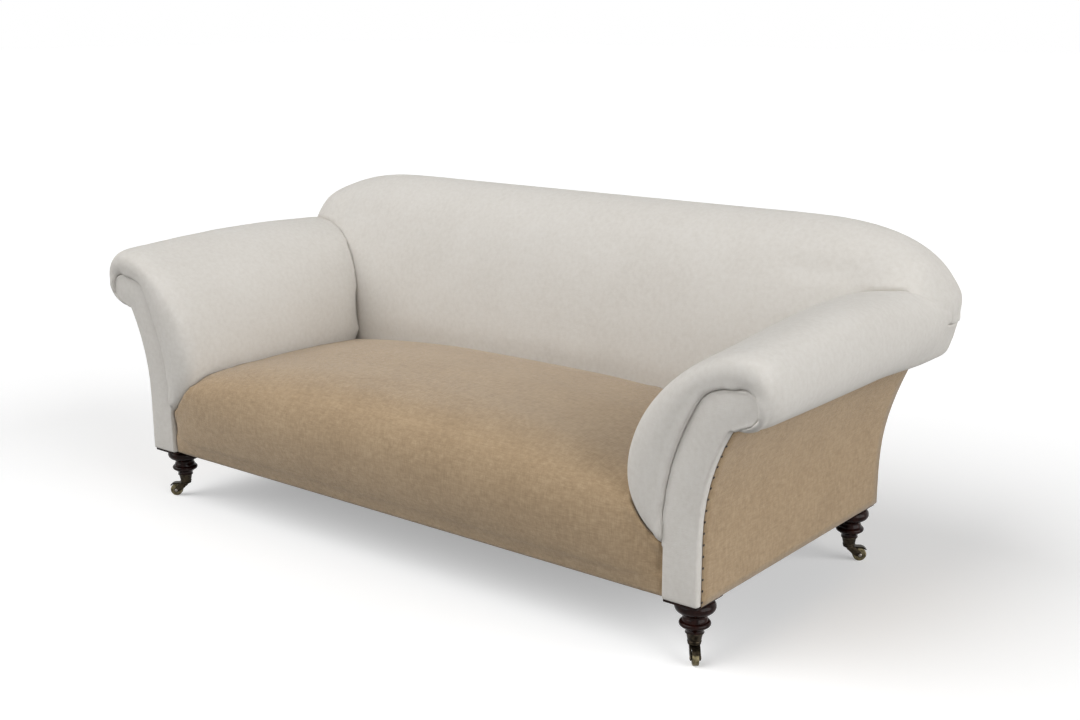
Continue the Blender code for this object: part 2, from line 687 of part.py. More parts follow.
def build_back_webbing(datum, jute):
    """Upright straps from the stay rail to the top rail, crossed by one long strap."""
    low = BACK_FOOT + STAY_RAIL_GAP
    high = TOP_RAIL_TOP
    half = WEB_WIDTH / 2
    strap = leaning_strip(low, high, CLEAR, WEB_THICK)
    places = strap_places(-SHOULDER_START, SHOULDER_START, 7)
    straps = gather(prism(strap, lengthwise, x - half, x + half) for x in places)
    back = piece("back_webbing", straps, datum, jute)
    middle = mix(low, high, 0.5)
    long_strap = leaning_strip(middle - half, middle + half, CLEAR, WEB_THICK)
    crossing = prism(long_strap, lengthwise, CLEAR - INNER, INNER - CLEAR)
    combine(back, piece("back_long_strap", crossing, datum, jute), "UNION")


def band_strip(start, end, steps):
    """A strip of webbing along the inner edge of the scroll, as an outline."""
    outer = flare(FACING_WIDTH, start, end, steps)
    inner = flare(FACING_WIDTH - WEB_THICK, end, start, steps)
    return inner + outer


def build_arm_webbing(hand, side, datum, jute):
    """Straps up the inside of the arm, over the stay rail and the shaped arm rail."""
    rise = ARM_FOOT + STAY_RAIL_GAP + STAY_RAIL_HEIGHT - FLARE_START
    strap = band_strip(math.degrees(math.asin(rise / FLARE_RADIUS)), FLARE_ANGLE, 5)
    half = WEB_WIDTH / 2
    places = strap_places(STUMP_REAR, REAR_STUMP_FRONT, 4)
    straps = gather(prism(strap, across(side), y - half, y + half) for y in places)
    arm = piece(f"{hand}_arm_webbing", straps, datum, jute)
    along = band_strip(0.4 * FLARE_ANGLE, 0.6 * FLARE_ANGLE, 1)
    crossing = prism(along, across(side), STUMP_REAR + CLEAR, REAR_STUMP_FRONT - CLEAR)
    combine(arm, piece(f"{hand}_arm_long_strap", crossing, datum, jute), "UNION")


def spring_field():
    """Box (x0, y0, x1, y1) of the sprung seat between the arms, the border and the back."""
    half = INNER - ARM_BULGE - 0.014
    rear = SEAT_DEPTH - BACK_CROWN - LUMBAR - 2 * CLEAR
    return (-half, BORDER_THICK - HEM_PROUD + CLEAR, half, rear)


def spring_columns():
    x0, _, x1, _ = spring_field()
    return [mix(x0 + SPRING_EDGE, x1 - SPRING_EDGE, i / (SPRING_COLUMNS - 1)) for i in range(SPRING_COLUMNS)]


def spring_rows():
    _, y0, _, y1 = spring_field()
    return [mix(y0 + SPRING_EDGE, y1 - SPRING_EDGE, i / (SPRING_ROWS - 1)) for i in range(SPRING_ROWS)]


def build_springs(datum, steel, hessian):
    """Waisted springs, lashed to one another across their tops, under a sheet of spring hessian."""
    x0, y0, x1, y1 = spring_field()
    runs = [spring_coil(x, y) for x in spring_columns() for y in spring_rows()]
    low = SPRING_TOP - LACING
    half = LACING / 2
    ends = (-x1 + SPRING_EDGE / 4, x1 - SPRING_EDGE / 4)
    long_cords = [((ends[0], y - half, low), (ends[1], y + half, SPRING_TOP)) for y in spring_rows()]
    cross_cords = [
        ((x - half, y0 + SPRING_EDGE / 4, low), (x + half, y1 - SPRING_EDGE / 4, SPRING_TOP))
        for x in spring_columns()
    ]
    springs = piece("lashed_seat_springs", gather(board(*ends) for ends in long_cords), datum, steel)
    crossing = piece("spring_cross_cords", gather(board(*ends) for ends in cross_cords), datum, steel)
    combine(springs, crossing, "UNION")
    combine(springs, piece("spring_coils", wire_mesh(runs, SPRING_WIRE), datum, steel), "UNION")
    sheet = board((x0, y0, HESSIAN_BOTTOM), (x1, y1, HESSIAN_BOTTOM + WEB_THICK))
    piece("spring_hessian", sheet, datum, hessian)


def build_stuffing(datum, calico, hessian):
    """Stuffed back, arms and seat. The back laps over the arms, and both hold the seat between them."""
    back = piece("back_pad", back_form(), datum, calico, smooth=50)
    back_space = piece("back_space", back_form(CLEAR), datum, calico)
    seat = piece("seat_pad", seat_form(), datum, hessian, smooth=50)
    combine(seat, piece("back_over_seat", back_form(CLEAR), datum, calico), "DIFFERENCE")
    scroll = offset(scroll_outline(0.0), CLEAR)
    zone = FRAME_DEPTH - 1.5 * BACK_SEATING
    far = SHOULDER_END + SHOULDER_LENGTH
    for side, hand in ((-1, "left"), (1, "right")):
        combine(back, side_block(f"{hand}_arm_side", side, CLEAR, datum, calico), "DIFFERENCE")
        combine(back_space, side_block(f"{hand}_arm_bed", side, 0.0, datum, calico), "DIFFERENCE")
        arm = piece(f"{hand}_arm_pad", arm_form(side), datum, calico, smooth=50)
        core = prism(scroll, across(side), -SHOULDER_LENGTH, FRAME_DEPTH - 2 * COVER_THICK)
        combine(arm, piece(f"{hand}_scroll_space", core, datum, calico), "DIFFERENCE")
        low, high = (-OUTER + CLEAR, zone, 0.0), (OUTER - CLEAR, 2 * FRAME_DEPTH, 2 * BACK_HEIGHT)
        combine(arm, piece(f"{hand}_back_zone", board(low, high), datum, calico), "DIFFERENCE")
        low, high = (-far, FRAME_DEPTH - 3 * COVER_THICK, 0.0), (far, 2 * FRAME_DEPTH, TUCK.y)
        combine(arm, piece(f"{hand}_rear_corner", board(low, high), datum, calico), "DIFFERENCE")
        combine(arm, back_space, "DIFFERENCE")
        combine(seat, piece(f"{hand}_arm_over_seat", arm_form(side, CLEAR), datum, calico), "DIFFERENCE")


def side_block(name, side, grow, datum, look):
    """All that lies outside the inner edge of the scroll, up to its head."""
    edge = flare(FACING_WIDTH, 0, FLARE_ANGLE, 6)
    over = [p for p in reversed(scroll_head()) if p.y > EYE.y]
    far = SHOULDER_END + SHOULDER_LENGTH
    outline = [Vector((INNER, 0.0))] + edge + over + [Vector((EYE.x + EYE_RADIUS, EYE.y))]
    outline += [Vector((far, EYE.y)), Vector((far, 0.0))]
    outline.reverse()
    shape = prism(offset(outline, grow), across(side), -SHOULDER_LENGTH, 2 * FRAME_DEPTH)
    return piece(name, shape, datum, look)


def build_covers(datum, calico, hessian, lining):
    """Padded facings, outside arms, outside back and bottom cloth."""
    facing = scroll_outline(HEM_HEIGHT)
    for side, hand in ((-1, "left"), (1, "right")):
        shape = prism(facing, across(side), -FACING_PROUD, FACING_THICK - FACING_PROUD)
        rim = [e for e in shape.edges if all(abs(v.co.y + FACING_PROUD) < 1e-6 for v in e.verts)]
        bmesh.ops.bevel(shape, geom=rim, offset=0.4 * FACING_PROUD, segments=2, profile=0.5, affect="EDGES")
        piece(f"{hand}_arm_facing", shape, datum, calico, smooth=40)
        piece(f"{hand}_outside_arm", outside_arm_form(side), datum, hessian, smooth=40)
    piece("outside_back", outside_back_form(), datum, hessian, smooth=40)
    build_bottom_cloth(datum, lining)


def arm_edge(z):
    """Distance of the outer face of the arm from the middle, at a height."""
    rise = max(z - FLARE_START, 0.0)
    return OUTER + FLARE_RADIUS - math.sqrt(FLARE_RADIUS**2 - rise**2)


def outside_arm_form(side):
    """A sheet over the outside of the arm, from the facing to the rear corner."""
    levels = [HEM_HEIGHT, RAKE_START] + [p.y for p in flare(0.0, 0, FLARE_ANGLE, 6)[:-1]] + [TUCK.y - CLEAR]
    grids = []
    for gap in (0.0, COVER_THICK):
        edge = [side * (arm_edge(z) + gap) for z in levels]
        front = [Vector((x, STUMP_FRONT, z)) for x, z in zip(edge, levels)]
        rear = [Vector((x, outside_back(z) - COVER_THICK, z)) for x, z in zip(edge, levels)]
        grids.append([front, rear])
    return shell(*grids)


def outside_back_form():
    """A sheet over the outside of the back, up to the rolls of the arms and of the back."""
    neck = (OUTER - 6 * COVER_THICK) / back_edge(TUCK.y)
    half = [0.45, 0.7, 0.8, neck, mix(neck, 1.0, 0.3), mix(neck, 1.0, 0.58), 1.0]
    rolled = ROLL_RADIUS + COVER_THICK
    near = []
    for share in [-share for share in reversed(half)] + [0.0] + half:
        reach = abs(share) * back_edge(TUCK.y)
        top = height_below_top(reach, TUCK_DEPTH)
        beside = ROLL.x - reach
        if beside < rolled:
            top = ROLL.y - math.sqrt(rolled**2 - beside**2)
        levels = [mix(HEM_HEIGHT, top - 2 * COVER_THICK, i / 7) for i in range(8)]
        near.append([Vector((share * back_edge(z), outside_back(z) + CLEAR, z)) for z in levels])
    far = [[p + Vector((0, COVER_THICK, 0)) for p in row] for row in near]
    return shell(near, far)


def back_edge(z):
    """Half the width of the outside back, which follows the arms."""
    return arm_edge(min(z, TUCK.y)) + COVER_THICK


def build_bottom_cloth(datum, lining):
    """A thin cloth under the rails, cut away round the legs."""
    edge = OUTER - 2 * COVER_THICK
    notch = LEG_X - BLOCK_SIDE / 2 - CLEAR
    front, rear = BORDER_THICK - HEM_PROUD + CLEAR, outside_back(HEM_HEIGHT) - 2 * COVER_THICK
    front_notch = FRONT_LEG_Y + BLOCK_SIDE / 2 + CLEAR
    rear_notch = REAR_LEG_Y - BLOCK_SIDE / 2 - CLEAR
    outline = []
    for sx, sy in ((1, 0), (1, 1), (-1, 1), (-1, 0)):
        y_edge, y_notch = ((front, front_notch), (rear, rear_notch))[sy]
        corner = [(sx * notch, y_edge), (sx * notch, y_notch), (sx * edge, y_notch)]
        outline += corner if (sx > 0) == (sy == 0) else corner[::-1]
    top = WEB_BOTTOM - CLEAR
    piece("bottom_cloth", prism(outline, upright, top - WEB_THICK, top), datum, lining)


def leg_profile():
    """The turned leg from its spigot down to the hole for the castor's spindle."""
    block = HEM_HEIGHT - BLOCK_DROP
    top = RAIL_BOTTOM - CLEAR + SPIGOT_LENGTH
    bulb_middle = block - BULB_HEIGHT / 2
    bulb = [
        (mix(NECK_RADIUS, BULB_RADIUS, p.x), bulb_middle + p.y * BULB_HEIGHT / 2)
        for p in arc((0, 0), 1.0, 62, -90, 7)
    ]
    ring_middle = block - BULB_HEIGHT - NECK_HEIGHT - RING_HEIGHT / 2
    ring = [
        (mix(ANKLE_RADIUS, RING_RADIUS, p.x), ring_middle + p.y * RING_HEIGHT / 2)
        for p in arc((0, 0), 1.0, 62, -80, 5)
    ]
    rim = CUP_BOTTOM + CUP_HEIGHT
    plug_top = ANKLE_RADIUS - CUP_WALL
    plug_foot = CUP_FOOT_RADIUS - CUP_WALL - CLEAR
    end = CUP_BOTTOM + CUP_FLOOR + CLEAR
    hole = SPINDLE_RADIUS + RUNNING
    hole_top = CUP_BOTTOM + SPINDLE_LENGTH + CLEAR
    shank = [(SPIGOT_RADIUS, top), (SPIGOT_RADIUS, block)]
    plug = [(ANKLE_RADIUS, rim + CLEAR), (plug_top, rim + CLEAR), (plug_foot, end)]
    bore = [(hole, end), (hole, hole_top), (0, hole_top)]
    return [(0, top)] + shank + bulb + ring + plug + bore


def cup_profile():
    """The brass cup on the end of the leg, with a hole in its floor for the spindle."""
    rim = CUP_BOTTOM + CUP_HEIGHT
    hole = SPINDLE_RADIUS + RUNNING
    floor = CUP_BOTTOM + CUP_FLOOR
    bead = 0.12 * CUP_HEIGHT
    return [
        (ANKLE_RADIUS - CUP_WALL + CLEAR, rim),
        (ANKLE_RADIUS + 0.4 * CUP_WALL, rim),
        (ANKLE_RADIUS + 0.4 * CUP_WALL, rim - bead),
        (ANKLE_RADIUS - 0.3 * CUP_WALL, rim - 1.6 * bead),
        (CUP_FOOT_RADIUS, CUP_BOTTOM + bead),
        (CUP_FOOT_RADIUS - bead / 2, CUP_BOTTOM),
        (hole, CUP_BOTTOM),
        (hole, floor),
        (CUP_FOOT_RADIUS - CUP_WALL, floor),
    ]


def wheel_profile():
    """The castor's wheel, turned: bore, proud hub, dished sides and rounded tread."""
    half = WHEEL_WIDTH / 2
    bore = AXLE_RADIUS + RUNNING
    hub = bore + 0.0025
    side = [(bore, half), (hub, half), (hub + 0.001, 0.72 * half), (0.78 * WHEEL_RADIUS, 0.72 * half)]
    side += [(0.86 * WHEEL_RADIUS, half), (WHEEL_RADIUS, 0.66 * half)]
    return side + [(r, -z) for r, z in reversed(side)]


def axle_profile():
    end = WHEEL_WIDTH / 2 + CHEEK_GAP + CHEEK_THICK + CLEAR
    head = end + AXLE_HEAD_THICK
    half = [(AXLE_RADIUS, 0.0), (AXLE_RADIUS, end), (AXLE_HEAD, end), (0.7 * AXLE_HEAD, head), (0, head)]
    return [(r, -z) for r, z in reversed(half)] + half[1:]


def cheek_outline():
    """Side view of one horn of the fork, in the plane of the wheel: (trail, height above the axle)."""
    root = PLATE_BOTTOM + 0.6 * PLATE_THICK - AXLE_HEIGHT
    reach = 0.62 * PLATE_RADIUS
    boss = arc((TRAIL, 0.0), CHEEK_BOSS, 40, -140, 5)
    knee = (TRAIL - 1.6 * CHEEK_BOSS, 0.3 * root)
    back = bezier(boss[-1], knee, (-reach, 0.45 * root), (-reach, root), 3)[1:]
    front = bezier((reach, root), (1.3 * reach, 0.9 * root), (TRAIL, 0.75 * root), boss[0], 3)[:-1]
    return boss + back + front


def build_horn(name, swivel, brass):
    """The castor's horn: spindle, plate and two cheeks that hold the axle."""
    profile = [
        (0, CUP_BOTTOM + SPINDLE_LENGTH), (SPINDLE_RADIUS, CUP_BOTTOM + SPINDLE_LENGTH),
        (SPINDLE_RADIUS, PLATE_BOTTOM + PLATE_THICK), (0.9 * PLATE_RADIUS, PLATE_BOTTOM + PLATE_THICK),
        (PLATE_RADIUS, PLATE_BOTTOM + 0.7 * PLATE_THICK), (PLATE_RADIUS, PLATE_BOTTOM), (0, PLATE_BOTTOM),
    ]
    horn = piece(name, turned(profile, 12), swivel, brass, smooth=40)
    near = WHEEL_WIDTH / 2 + CHEEK_GAP
    for side, hand in ((-1, "near"), (1, "far")):
        to_point = lambda p, w: Vector((p[0], w, p[1] + AXLE_HEIGHT))
        cheek = prism(cheek_outline(), to_point, side * near, side * (near + CHEEK_THICK))
        combine(horn, piece(f"{name}_{hand}_cheek", cheek, swivel, brass), "UNION")
    radius = AXLE_RADIUS + RUNNING / 2
    bore = turned([(0, -1), (radius, -1), (radius, 1), (0, 1)], 8)
    bmesh.ops.scale(bore, verts=bore.verts, vec=(1, 1, 2 * PLATE_RADIUS))
    drill = piece(f"{name}_bore", bore, swivel, brass)
    drill.location = (TRAIL, 0, AXLE_HEIGHT)
    drill.rotation_euler.x = math.pi / 2
    combine(horn, drill, "DIFFERENCE")


def build_leg(corner, datum, looks):
    """One turned leg with its castor, at a corner such as front_left."""
    end, hand = corner.split("_")
    side = -1 if hand == "left" else 1
    depth = FRONT_LEG_Y if end == "front" else REAR_LEG_Y
    axis = empty(f"{corner}_leg_axis", datum, (side * LEG_X, depth, 0))
    leg = piece(f"{corner}_leg", turned(leg_profile(), 16), axis, looks["mahogany"], smooth=40)
    half = BLOCK_SIDE / 2
    block = board((-half, -half, HEM_HEIGHT - BLOCK_DROP), (half, half, RAIL_BOTTOM - CLEAR))
    combine(leg, piece(f"{corner}_leg_block", block, axis, looks["mahogany"]), "UNION")
    piece(f"{corner}_castor_cup", turned(cup_profile(), 16, closed=True), axis, looks["brass"], smooth=40)
    swivel = empty(f"{corner}_swivel", axis, (0, 0, 0), CASTOR_TURNS[corner])
    build_horn(f"{corner}_castor_horn", swivel, looks["brass"])
    axle = empty(f"{corner}_axle", swivel, (TRAIL, 0, AXLE_HEIGHT))
    axle.rotation_euler.x = math.pi / 2
    piece(f"{corner}_castor_axle", turned(axle_profile(), 8), axle, looks["steel"], smooth=40)
    facet = -math.pi / 2 + math.pi / WHEEL_SIDES
    wheel = turned(wheel_profile(), WHEEL_SIDES, closed=True, start=facet)
    piece(f"{corner}_castor_wheel", wheel, axle, looks["brass"], smooth=40)


def main():
    for obj in list(bpy.data.objects):
        bpy.data.objects.remove(obj)
    looks = {
        "calico": material("calico", (0.70, 0.65, 0.58), 0.9),
        "hessian": material("hessian", (0.40, 0.29, 0.17), 0.95),
        "lining": material("bottom_lining", (0.03, 0.03, 0.03), 0.9),
        "jute": material("jute_webbing", (0.42, 0.33, 0.20), 0.9),
        "beech": material("beech", (0.50, 0.34, 0.20), 0.6),
        "mahogany": material("mahogany", (0.035, 0.012, 0.008), 0.25),
        "brass": material("aged_brass", (0.32, 0.22, 0.09), 0.4, 1.0),
        "steel": material("spring_steel", (0.35, 0.33, 0.31), 0.35, 1.0),
    }
    datum = empty("front_plane", None, (0, -MIDDLE, 0))
    build_frame(datum, looks["beech"])
    build_webbing(datum, looks["jute"])
    build_springs(datum, looks["steel"], looks["hessian"])
    build_stuffing(datum, looks["calico"], looks["hessian"])
    build_covers(datum, looks["calico"], looks["hessian"], looks["lining"])
    for corner in CASTOR_TURNS:
        build_leg(corner, datum, looks)


main()
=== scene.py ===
"""Looks of the scroll-arm sofa: stuffed calico and hessian, turned mahogany legs and brass castors.

Metres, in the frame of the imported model: +Z up, the front faces -Y, the floor is z = 0.
"""

import json
import math

import bmesh
import bpy
import numpy as np
from mathutils import Matrix, Vector
from mathutils.bvhtree import BVHTree
from mathutils.kdtree import KDTree


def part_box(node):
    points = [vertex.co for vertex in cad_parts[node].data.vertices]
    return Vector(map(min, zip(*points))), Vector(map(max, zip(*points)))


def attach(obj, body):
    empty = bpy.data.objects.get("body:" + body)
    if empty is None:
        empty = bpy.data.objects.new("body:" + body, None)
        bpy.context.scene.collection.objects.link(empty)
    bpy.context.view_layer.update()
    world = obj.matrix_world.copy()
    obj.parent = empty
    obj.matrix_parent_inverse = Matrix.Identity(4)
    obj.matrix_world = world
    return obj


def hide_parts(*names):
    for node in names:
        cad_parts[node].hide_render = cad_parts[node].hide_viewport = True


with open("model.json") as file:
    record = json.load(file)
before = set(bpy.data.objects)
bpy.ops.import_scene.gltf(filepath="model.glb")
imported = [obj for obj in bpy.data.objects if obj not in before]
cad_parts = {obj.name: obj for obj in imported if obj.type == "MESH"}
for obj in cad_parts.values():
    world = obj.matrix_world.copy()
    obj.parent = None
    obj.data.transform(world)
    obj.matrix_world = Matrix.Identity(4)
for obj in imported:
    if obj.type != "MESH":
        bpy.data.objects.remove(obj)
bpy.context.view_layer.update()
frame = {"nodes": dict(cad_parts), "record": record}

# Camera, as in the photo
CAMERA_PLACE = (2.2233, -2.6611, 1.2859)
CAMERA_YAW = 38.409
CAMERA_PITCH = 13.882
CAMERA_LENS = 47.449
SENSOR_WIDTH = 36.0

# Light: two broad lamps, each given by its strength and the way to it
FILL_LIGHT = 0.12
LAMPS = {"right_lamp": (3.2, (0.96, 0.05, 0.22)), "front_lamp": (2.5, (-0.45, -0.60, 0.66))}
LAMP_ANGLE = 60
WHITE = (1, 1, 1, 1)
FLOOR_REACH = 40
FLOOR_TONE = 0.80  # as seen
FLOOR_BOUNCE = 0.30  # as it throws light back on the sofa
FLOOR_GLOW = 0.34

# Frame of the sofa
FACING_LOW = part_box("right_arm_facing")[0]
FRONT = FACING_LOW.y
HEM = FACING_LOW.z
OUTER = 0.855  # outer face of the arms, low down
FLARE_START = 0.285
FLARE_RADIUS = 0.461
FLARE_TURN = math.radians(30)
TUCK_HEIGHT = FLARE_START + FLARE_RADIUS * math.sin(FLARE_TURN)
BACK_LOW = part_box("outside_back")[0].y
BACK_RAKE = 0.0505
RAKE_START = 0.220
RAKE_RISE = 0.260
BACK_CORNER = 0.5115  # height of the outside back's upper corners
# Height and half width of the outside back's upper edge, which is tucked in under the roll
BACK_TUCK = [(0.5262, 0.8873), (0.5508, 0.8665), (0.6130, 0.8442), (0.6420, 0.7348), (0.6463, 0.6430)]
SIDES = {"left": -1, "right": 1}
CORNERS = ("front_left", "front_right", "rear_left", "rear_right")

# Stuffing: size of the voxels, rounds of rounding, most swelling, and how full the pad is
BACK_STUFFING = dict(voxel=0.0055, rounding=18, most=0.006, fill=0.8)
SEAT_STUFFING = dict(voxel=0.0055, rounding=14, most=0.006, fill=0.9)
ARM_STUFFING = dict(voxel=0.0050, rounding=14, most=0.006, fill=0.8)
FACING_STUFFING = dict(voxel=0.0030, rounding=1, most=0.004, fill=0.5)
HEM_KEPT = 0.030  # height above the hem over which the pads keep their edges
SHRINK, GROW = 0.55, -0.56  # factors of one round of rounding
ROUND_STEPS = 10
FAIR_ROUNDS = 150
COARSE = 2.4  # voxels of the copies that swell, to those of the pads
COARSE_ROUNDING = 3
SWELL_PRESSURE = 4.0
SWELL_FRAMES = 20
TOUCHING = 0.010  # reach between boxes of pieces that may hold a pad
EVEN_ROUNDS = 60

# How far places of the pads are moved
SEAM_LIFT = 0.030
SHOULDER_FORWARD = 0.024
SHOULDER_OUT = 0.010
END_TUCK = 0.012
ARM_END_FILL = 0.010
FACING_RAISE = 0.004
FACING_FRONT = 0.006  # depth of a facing that is raised
SEAM_PRESS = 0.003  # a facing's edge, into the stuffing that it is sewn to

# Thin covers and tacks
COVER_THICK = 0.0016
CLOTH_SMOOTH = 60  # degrees
FACING_RETURN = 0.012  # width of calico that turns round the outer edge of a facing
ARM_ROWS, ARM_COLUMNS = 22, 30
BACK_ROWS, BACK_COLUMNS = 14, 60
LINING_COLUMNS, LINING_ROWS = 28, 14
LINING_SAG = 0.004
LEG_ROOM = 0.001  # between the lining and a leg
TACK_PITCH = 0.024
TACK_RADIUS = 0.0030
TACK_HEIGHT = 0.0013
TACK_START = 0.4  # of the pitch, above the hem

# Legs and castors
TURNED_SMOOTH = 35  # degrees
BLOCK_SIDE = 0.080
BLOCK_DROP = 0.0065
BLOCK_GAP = 0.0006  # under the cloth
BLOCK_INSET = 0.0012  # behind the front of the facing
BLOCK_BEVEL = 0.0012
WHEEL_WIDTH = 0.014
PLATE_DROP = 0.0045  # from the cup to the bottom of the horn's plate
PLATE_HALF = 0.0020
CHEEK_NEAR = 0.0076  # faces of the fork's cheeks, from the middle of the wheel
CHEEK_FAR = 0.0111
CHEEK_BEVEL = 0.0008
WEB_GAP = 0.0016  # between the wheel and the web of the fork over it
WEB_THICK = 0.0030

# Finishes: tones from dark to light, as linear colours
CLOTHS = {
    "calico": dict(
        tones=((0.62, 0.59, 0.545), (0.67, 0.643, 0.60), (0.71, 0.688, 0.65)),
        pitch=0.0011, slub_share=0.3, roughness=0.9, sheen=0.1),
    "hessian": dict(
        tones=((0.30, 0.208, 0.12), (0.405, 0.29, 0.174), (0.51, 0.38, 0.24)),
        pitch=0.0022, slub_share=0.5, roughness=0.95, sheen=0.3),
    "bottom_lining": dict(
        tones=((0.015, 0.015, 0.016), (0.025, 0.025, 0.026), (0.04, 0.04, 0.04)),
        pitch=0.0012, slub_share=0.3, roughness=0.95, sheen=0.0),
    "jute_webbing": dict(
        tones=((0.26, 0.19, 0.11), (0.40, 0.31, 0.19), (0.52, 0.42, 0.27)),
        pitch=0.003, slub_share=0.5, roughness=0.95, sheen=0.0),
}
WOODS = {
    "beech": dict(
        tones=((0.42, 0.27, 0.15), (0.58, 0.41, 0.25)),
        grain=(30, 30, 30), roughness=0.55, shine=0.4),
    "mahogany": dict(
        tones=((0.006, 0.002, 0.0016), (0.024, 0.007, 0.005)),
        grain=(90, 90, 12), roughness=0.18, shine=0.1),
}
METALS = {
    "aged_brass": dict(tones=((0.06, 0.05, 0.028), (0.17, 0.145, 0.085)), roughness=0.5),
    "spring_steel": dict(tones=((0.25, 0.23, 0.21), (0.42, 0.40, 0.37)), roughness=0.35),
    "axle_steel": dict(tones=((0.18, 0.16, 0.14), (0.33, 0.30, 0.27)), roughness=0.4),
    "dark_brass": dict(tones=((0.012, 0.0095, 0.007), (0.042, 0.033, 0.022)), roughness=0.45),
    "tack": dict(tones=((0.012, 0.012, 0.014), (0.05, 0.045, 0.04)), roughness=0.4),
}


def mix(a, b, share):
    return a + (b - a) * share


def smoothstep(share):
    share = min(max(share, 0.0), 1.0)
    return share * share * (3 - 2 * share)


def ease(values, start, end):
    """0 up to start, 1 from end, and smooth between, for rows of values."""
    share = np.clip((values - start) / (end - start), 0.0, 1.0)
    return share * share * (3 - 2 * share)


def arm_edge(z):
    """Distance of the outer face of an arm from the middle, at a height."""
    rise = max(z - FLARE_START, 0.0)
    return OUTER + FLARE_RADIUS - math.sqrt(FLARE_RADIUS**2 - rise**2)


def back_depth(z):
    """Depth of the outside back at a height."""
    return BACK_LOW + BACK_RAKE * smoothstep((z - RAKE_START) / RAKE_RISE)


# Nodes of the materials


def add(tree, kind, **settings):
    made = tree.nodes.new(kind)
    for key, value in settings.items():
        setattr(made, key, value)
    return made


def feed(tree, socket, value):
    """Links a socket to another, or sets its number."""
    if isinstance(value, bpy.types.NodeSocket):
        tree.links.new(value, socket)
    else:
        socket.default_value = value


def calc(tree, operation, *values):
    step = add(tree, "ShaderNodeMath", operation=operation)
    for socket, value in zip(step.inputs, values):
        feed(tree, socket, value)
    return step.outputs[0]


def total(tree, values):
    result = values[0]
    for value in values[1:]:
        result = calc(tree, "ADD", result, value)
    return result


def split(tree, vector):
    parts = add(tree, "ShaderNodeSeparateXYZ")
    feed(tree, parts.inputs[0], vector)
    return list(parts.outputs)


def noise(tree, place, scale, detail=2.0, stretch=(1, 1, 1)):
    """Soft noise from 0 to 1; stretch makes it finer along an axis."""
    turn = add(tree, "ShaderNodeMapping")
    turn.inputs["Scale"].default_value = stretch
    feed(tree, turn.inputs["Vector"], place)
    cloud = add(tree, "ShaderNodeTexNoise")
    cloud.inputs["Scale"].default_value = scale
    cloud.inputs["Detail"].default_value = detail
    feed(tree, cloud.inputs["Vector"], turn.outputs[0])
    return cloud.outputs["Fac"]


def ramp(tree, value, levels, tones):
    """A colour for each level of a value."""
    made = add(tree, "ShaderNodeValToRGB")
    feed(tree, made.inputs["Fac"], value)
    items = made.color_ramp.elements
    while len(items) < len(levels):
        items.new(0.5)
    for item, level, tone in zip(items, levels, tones):
        item.position = level
        item.color = (*tone, 1.0)
    return made.outputs["Color"]


def bump(tree, height, strength, distance, under=None):
    made = add(tree, "ShaderNodeBump")
    made.inputs["Strength"].default_value = strength
    made.inputs["Distance"].default_value = distance
    feed(tree, made.inputs["Height"], height)
    if under is not None:
        feed(tree, made.inputs["Normal"], under)
    return made.outputs["Normal"]


def new_finish(name):
    """A material, its nodes, its shader and the place on the piece."""
    made = bpy.data.materials.new(name)
    made.use_nodes = True
    tree = made.node_tree
    place = add(tree, "ShaderNodeTexCoord")
    return made, tree, tree.nodes["Principled BSDF"], place.outputs


def facing_shares(tree, normal):
    """How far the cloth faces along X, Y and Z, adding up to 1."""
    sizes = [calc(tree, "POWER", calc(tree, "ABSOLUTE", n), 4.0) for n in split(tree, normal)]
    whole = total(tree, sizes)
    return [calc(tree, "DIVIDE", size, whole) for size in sizes]


def weave(tree, place, shares, pitch):
    """Height of a plain weave, laid over whichever way the cloth faces."""
    turns = 2 * math.pi / pitch
    x, y, z = [calc(tree, "SINE", calc(tree, "MULTIPLY", c, turns)) for c in split(tree, place)]
    layers = [calc(tree, "MULTIPLY", *pair) for pair in ((y, z), (x, z), (x, y))]
    return total(tree, [calc(tree, "MULTIPLY", layer, share) for layer, share in zip(layers, shares)])


def slubs(tree, place, shares, length, pitch):
    """Thick and thin threads in both directions of the cloth, from 0 to 1."""
    streaks = []
    for axis, share in enumerate(shares):
        stretch = [1 / pitch] * 3
        stretch[axis] = 1 / length
        streak = noise(tree, place, scale=1.0, detail=1.0, stretch=stretch)
        streaks.append(calc(tree, "MULTIPLY", streak, calc(tree, "SUBTRACT", 1.0, share)))
    return calc(tree, "MULTIPLY", total(tree, streaks), 0.5)


def cloth_finish(name, tones, pitch, slub_share, roughness, sheen):
    """Woven cloth: mottled tones, threads of uneven thickness and a plain weave."""
    made, tree, shader, places = new_finish(name)
    place = places["Object"]
    shares = facing_shares(tree, places["Normal"])
    threads = slubs(tree, place, shares, length=12 * pitch, pitch=1.2 * pitch)
    broad = noise(tree, place, scale=7.0, detail=3.0)
    mottle = noise(tree, place, scale=90.0, detail=3.0)
    tone = total(tree, [
        calc(tree, "MULTIPLY", threads, slub_share),
        calc(tree, "MULTIPLY", mottle, 0.65 * (1 - slub_share)),
        calc(tree, "MULTIPLY", broad, 0.35 * (1 - slub_share)),
    ])
    feed(tree, shader.inputs["Base Color"], ramp(tree, tone, (0.3, 0.5, 0.7), tones))
    shader.inputs["Roughness"].default_value = roughness
    shader.inputs["Sheen Weight"].default_value = sheen
    shader.inputs["Sheen Roughness"].default_value = 0.5
    shader.inputs["Specular IOR Level"].default_value = 0.2
    soft = bump(tree, noise(tree, place, scale=16.0), strength=0.25, distance=0.004)
    coarse = bump(tree, threads, strength=0.5, distance=0.0012, under=soft)
    fine = bump(tree, weave(tree, place, shares, pitch), strength=0.4, distance=0.3 * pitch, under=coarse)
    feed(tree, shader.inputs["Normal"], fine)
    return made


